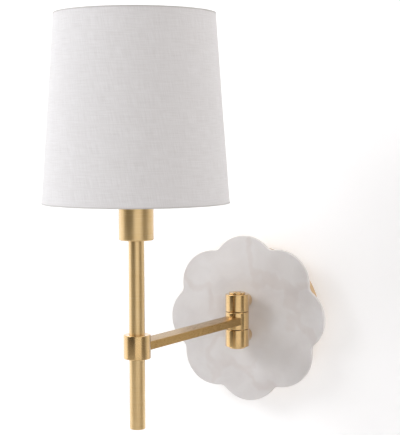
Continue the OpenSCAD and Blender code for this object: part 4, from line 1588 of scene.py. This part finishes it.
    def wires(self) -> None:
        """Both wire rings."""
        tree = ring_stack_tree(self.shop.wardrobe.material("wire_paint"))
        for node, name in (("ring_bottom", "ring_wire_bottom"), ("ring_top", "ring_wire_top")):
            low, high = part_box(node)
            wire = (high.z - low.z) / 2
            sizes = {"Count": 1, "Pitch": 0.0, "Radius": (high.x - low.x) / 2 - wire, "Wire Radius": wire}
            place = Matrix.Translation((self.axis.x, self.axis.y, (low.z + high.z) / 2))
            piece = tree.cast(name, sizes, place)
            self.shop.settle(piece, Body.SWING_ARM, "wire_paint", "white_wire", node)

    def fitter(self) -> None:
        """The fitter: a washer under the nut, and three spokes that fall to the bottom ring."""
        _, ring_size = span("ring_bottom")
        ring_low, ring_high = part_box("ring_bottom")
        _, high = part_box("shade_fitter")
        under = high.z - self.hub_sheet
        corners = [
            (self.hub_bore, under, 0.1 * MM),
            (self.hub_radius, under, 0.4 * MM),
            (self.hub_radius, high.z, 0.4 * MM),
            (self.hub_bore, high.z, 0.1 * MM),
        ]
        hub = lathe("fitter_hub", rounded(corners, 4), 128, Matrix.Translation(self.axis))
        self.shop.settle(hub, Body.SWING_ARM, "wire_paint", "zinc_steel")
        spoke_top = high.z - self.hub_sheet / 2
        ring_z = (ring_low.z + ring_high.z) / 2
        tree = spoke_tree(self.shop.wardrobe.material("wire_paint"))
        sizes = {
            "Count": 3,
            "Wire Radius": self.spoke_radius,
            "Hub Radius": self.hub_radius - 1 * MM,
            "Rim Radius": ring_size.x / 2 - 2.0 * MM,
            "Drop": spoke_top - ring_z,
        }
        way = self.shop.stem - self.shop.hinge
        turn = Matrix.Rotation(math.radians(90) + math.atan2(way.x, -way.y), 4, "Z")
        place = Matrix.Translation((self.axis.x, self.axis.y, spoke_top)) @ turn
        spokes = tree.cast("fitter_spokes", sizes, place)
        self.shop.settle(spokes, Body.SWING_ARM, "wire_paint", "zinc_steel", "shade_fitter")

    def build(self) -> None:
        """Builds the shade from its wires outwards."""
        self.wires()
        self.fitter()
        self.stiffener()
        self.tapes()
        self.cloth()


# Finishes of the frame's own nodes, which show as they are
NODE_FINISH: dict[str, str] = {
    "mounting_strap": "zinc",
    "ground_screw": "green_screw",
    "ground_lead": "green_wire",
    "side_screws": "brass_plain",
    "post_washers": "nylon",
    "shank_washers": "zinc",
    "shank_nuts": "brass_plain",
    "hinge_pin": "brass_plain",
    "seam_washers": "nylon",
    "tension_washer": "zinc",
    "stop_pin": "zinc",
    "wall_lead_live": "black_wire",
    "wall_lead_neutral": "white_wire",
    "wire_connectors": "orange",
    "collar_screw": "brass_plain",
    "cross_nipple": "brass_plain",
    "arm_lead_live": "black_wire",
    "arm_lead_neutral": "white_wire",
    "stem_bush": "brass_plain",
    "head_nipple": "brass_plain",
    "head_nut": "brass_plain",
    "lampholder": "phenolic",
    "screw_shell": "aluminium",
    "centre_contact": "brass_plain",
    "bulb_base": "aluminium",
    "bulb_tip": "solder",
    "bulb_stem": "clear",
    "bulb_filament": "phosphor",
}


@dataclass(frozen=True)
class Softbox:
    """An area light that faces the lamp.

    azimuth_deg counts from straight ahead towards +X. height and away are its middle's place from the lamp.
    """

    name: str
    azimuth_deg: float
    height: float
    away: float
    size: tuple[float, float]
    watts: float
    tint: str


SOFTBOXES = (
    # Wide, square to the left: the long highlight down the left of the brass and the shade
    Softbox("left_softbox", -84, 0.1, 1.5, (1.7, 2.2), 12, "#F6F8FF"),
    # Small and raised: the shadow to the right of the plate and under the collar
    Softbox("key_softbox", -43, 0.85, 1.6, (0.9, 0.9), 14, "#FAFBFF"),
    # High on the right: lifts the shaded side
    Softbox("high_fill", 84, 1.5, 1.4, (1.2, 1.2), 11, "#FFF8F6"),
    # Wide, front right: the second highlight on the stem and the cup
    Softbox("right_softbox", 37, 0.1, 1.9, (1.9, 2.4), 11.5, "#F8F9FF"),
)


@dataclass
class Studio:
    """The camera, the lights, and a pale wall and floor.

    Glow and grey are pairs, at the lamp and further right: the light that the paint gives off, and how pale it
    is.
    On the wall both fall off to the right: a painted pool of light round the lamp, with painted shade beyond
    it.
    """

    camera_at: tuple[float, float, float] = (0.53045, -1.24353, 0.2053)
    azimuth_deg: float = 25.75
    pitch_deg: float = 4.12
    roll_deg: float = -0.2
    lens_mm: float = 100.37
    dark_azimuth_deg: float = -9.0
    room_light: float = 0.25
    room_dark: float = 0.08
    # Painted light on the wall: a glow and paler paint at the lamp, fading to painted shade further right
    wall_painted_light_pool: Point = (0.3, 0.0)
    wall_pale_to_painted_shade: Point = (0.93, 0.6)
    floor_glow: Point = (0.0, 0.0)
    floor_grey: Point = (0.8, 0.8)

    def camera(self) -> None:
        """A long lens from the right of the lamp, a little above the arm."""
        data = bpy.data.cameras.new("camera")
        data.sensor_width, data.lens = 36.0, self.lens_mm
        data.clip_start, data.clip_end = 0.05, 30.0
        camera = bpy.data.objects.new("camera", data)
        a, p, r = (math.radians(v) for v in (self.azimuth_deg, self.pitch_deg, self.roll_deg))
        ahead = Vector((-math.sin(a) * math.cos(p), math.cos(a) * math.cos(p), -math.sin(p)))
        right = Vector((math.cos(a), math.sin(a), 0))
        up = right.cross(ahead)
        right, up = right * math.cos(r) + up * math.sin(r), up * math.cos(r) - right * math.sin(r)
        turn = Matrix((right, up, -ahead)).transposed().to_4x4()
        camera.matrix_world = Matrix.Translation(self.camera_at) @ turn
        bpy.context.scene.collection.objects.link(camera)
        bpy.context.scene.camera = camera

    def softbox(self, box: Softbox) -> None:
        """Sets up one light, which the camera doesn't see.

        Args:
            box: The light's place, size and power.
        """
        data = bpy.data.lights.new(box.name, "AREA")
        data.shape, data.size, data.size_y = "RECTANGLE", *box.size
        data.energy, data.color = box.watts, linear(box.tint)[:3]
        light = bpy.data.objects.new(box.name, data)
        a = math.radians(box.azimuth_deg)
        target = Vector((0, -0.12, 0.12))
        light.location = target + Vector((math.sin(a) * box.away, -math.cos(a) * box.away, box.height))
        light.rotation_mode = "QUATERNION"
        light.rotation_quaternion = (target - light.location).to_track_quat("-Z", "Y")
        light.visible_camera = False
        bpy.context.scene.collection.objects.link(light)

    def sheet_of_paint(self, name: str, corners: list[Corner], glow: Point, grey: Point) -> None:
        """One face of wall or floor, which can be seen from its front only.

        Args:
            name: The object's name.
            corners: Its four corners, counter-clockwise from the front.
            glow: Painted light that it gives off by itself, at the lamp and further right.
            grey: How light its paint is at the lamp and further right, where darker paint is painted shade.
        """
        mesh = bpy.data.meshes.new(name)
        mesh.from_pydata(corners, [], [(0, 1, 2, 3)])
        piece = new_object(name, mesh)
        material = bpy.data.materials.new(name + "_paint")
        material.use_nodes = True
        tree = material.node_tree
        shader = tree.nodes["Principled BSDF"]
        shader.inputs["Roughness"].default_value = 0.9
        shader.inputs["Specular IOR Level"].default_value = 0.0
        shader.inputs["Emission Color"].default_value = (1, 1, 1, 1)
        place = add_node(tree, "ShaderNodeTexCoord")
        across = add_node(tree, "ShaderNodeSeparateXYZ", {"Vector": place.outputs["Object"]})
        # Painted light: glow and paleness fade from X 0.2 to 0.75 m, a painted pool of light round the lamp
        # that turns to painted shade on the right
        for socket, (near, right) in (("Emission Strength", glow), ("Base Color", grey)):
            ends = {"From Min": 0.2, "From Max": 0.75, "To Min": near, "To Max": right}
            ends["Value"] = across.outputs["X"]
            level = add_node(tree, "ShaderNodeMapRange", ends, interpolation_type="SMOOTHSTEP")
            tree.links.new(level.outputs["Result"], shader.inputs[socket])
        side = add_node(tree, "ShaderNodeNewGeometry")
        clear = add_node(tree, "ShaderNodeBsdfTransparent")
        mix = add_node(
            tree,
            "ShaderNodeMixShader",
            {0: side.outputs["Backfacing"], 1: shader.outputs["BSDF"], 2: clear.outputs["BSDF"]},
        )
        tree.links.new(mix.outputs["Shader"], tree.nodes["Material Output"].inputs["Surface"])
        piece.data.materials.append(material)

    def surroundings(self) -> None:
        """The wall behind the lamp, a floor below it, and a warm world with one darker patch in front."""
        wall_y, floor_z, far = 0.0006, -0.55, 4.0
        wall = [(-far, wall_y, floor_z), (far, wall_y, floor_z), (far, wall_y, far), (-far, wall_y, far)]
        floor = [(-far, -far, floor_z), (far, -far, floor_z), (far, wall_y, floor_z), (-far, wall_y, floor_z)]
        # The wall's paint carries a painted pool of light that fades to painted shade on the right
        self.sheet_of_paint("wall", wall, self.wall_painted_light_pool, self.wall_pale_to_painted_shade)
        self.sheet_of_paint("floor", floor, self.floor_glow, self.floor_grey)
        world = bpy.data.worlds.new("studio")
        world.use_nodes = True
        tree = world.node_tree
        place = add_node(tree, "ShaderNodeTexCoord")
        way = math.radians(self.dark_azimuth_deg)
        ahead = add_node(
            tree,
            "ShaderNodeVectorMath",
            {0: place.outputs["Generated"], 1: (math.sin(way), -math.cos(way), 0.0)},
            operation="DOT_PRODUCT",
        )
        dark = add_node(
            tree,
            "ShaderNodeMapRange",
            {
                "Value": ahead.outputs["Value"],
                "From Min": 0.72,
                "From Max": 0.97,
                "To Min": self.room_light,
                "To Max": self.room_dark,
            },
            interpolation_type="SMOOTHSTEP",
        )
        background = tree.nodes["Background"]
        tree.links.new(dark.outputs["Result"], background.inputs["Strength"])
        background.inputs["Color"].default_value = linear("#FFF6EA")
        bpy.context.scene.world = world

    def build(self) -> None:
        """Sets the camera, the lights and the surroundings."""
        self.camera()
        for box in SOFTBOXES:
            self.softbox(box)
        self.surroundings()
        scene = bpy.context.scene
        scene.view_settings.view_transform = "Standard"
        scene.view_settings.look = "None"


def dress_frame(shop: Workshop) -> None:
    """Gives the frame's own nodes their finishes.

    Args:
        shop: The workshop, which holds the frame.
    """
    for node, finish in NODE_FINISH.items():
        shop.wardrobe.dress(shop.frame["nodes"][node], finish)
        LOG.info("%s: frame node in %s", node, finish)


def main() -> None:
    """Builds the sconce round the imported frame."""
    logging.basicConfig(level=logging.INFO, format="%(name)s: %(message)s")
    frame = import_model()
    Studio().build()
    shop = Workshop(frame, Wardrobe())
    dress_frame(shop)
    for part in (WallPlate(shop), Hinge(shop), Arm(shop), Head(shop), Shade(shop)):
        part.build()


if __name__ == "__main__":
    main()
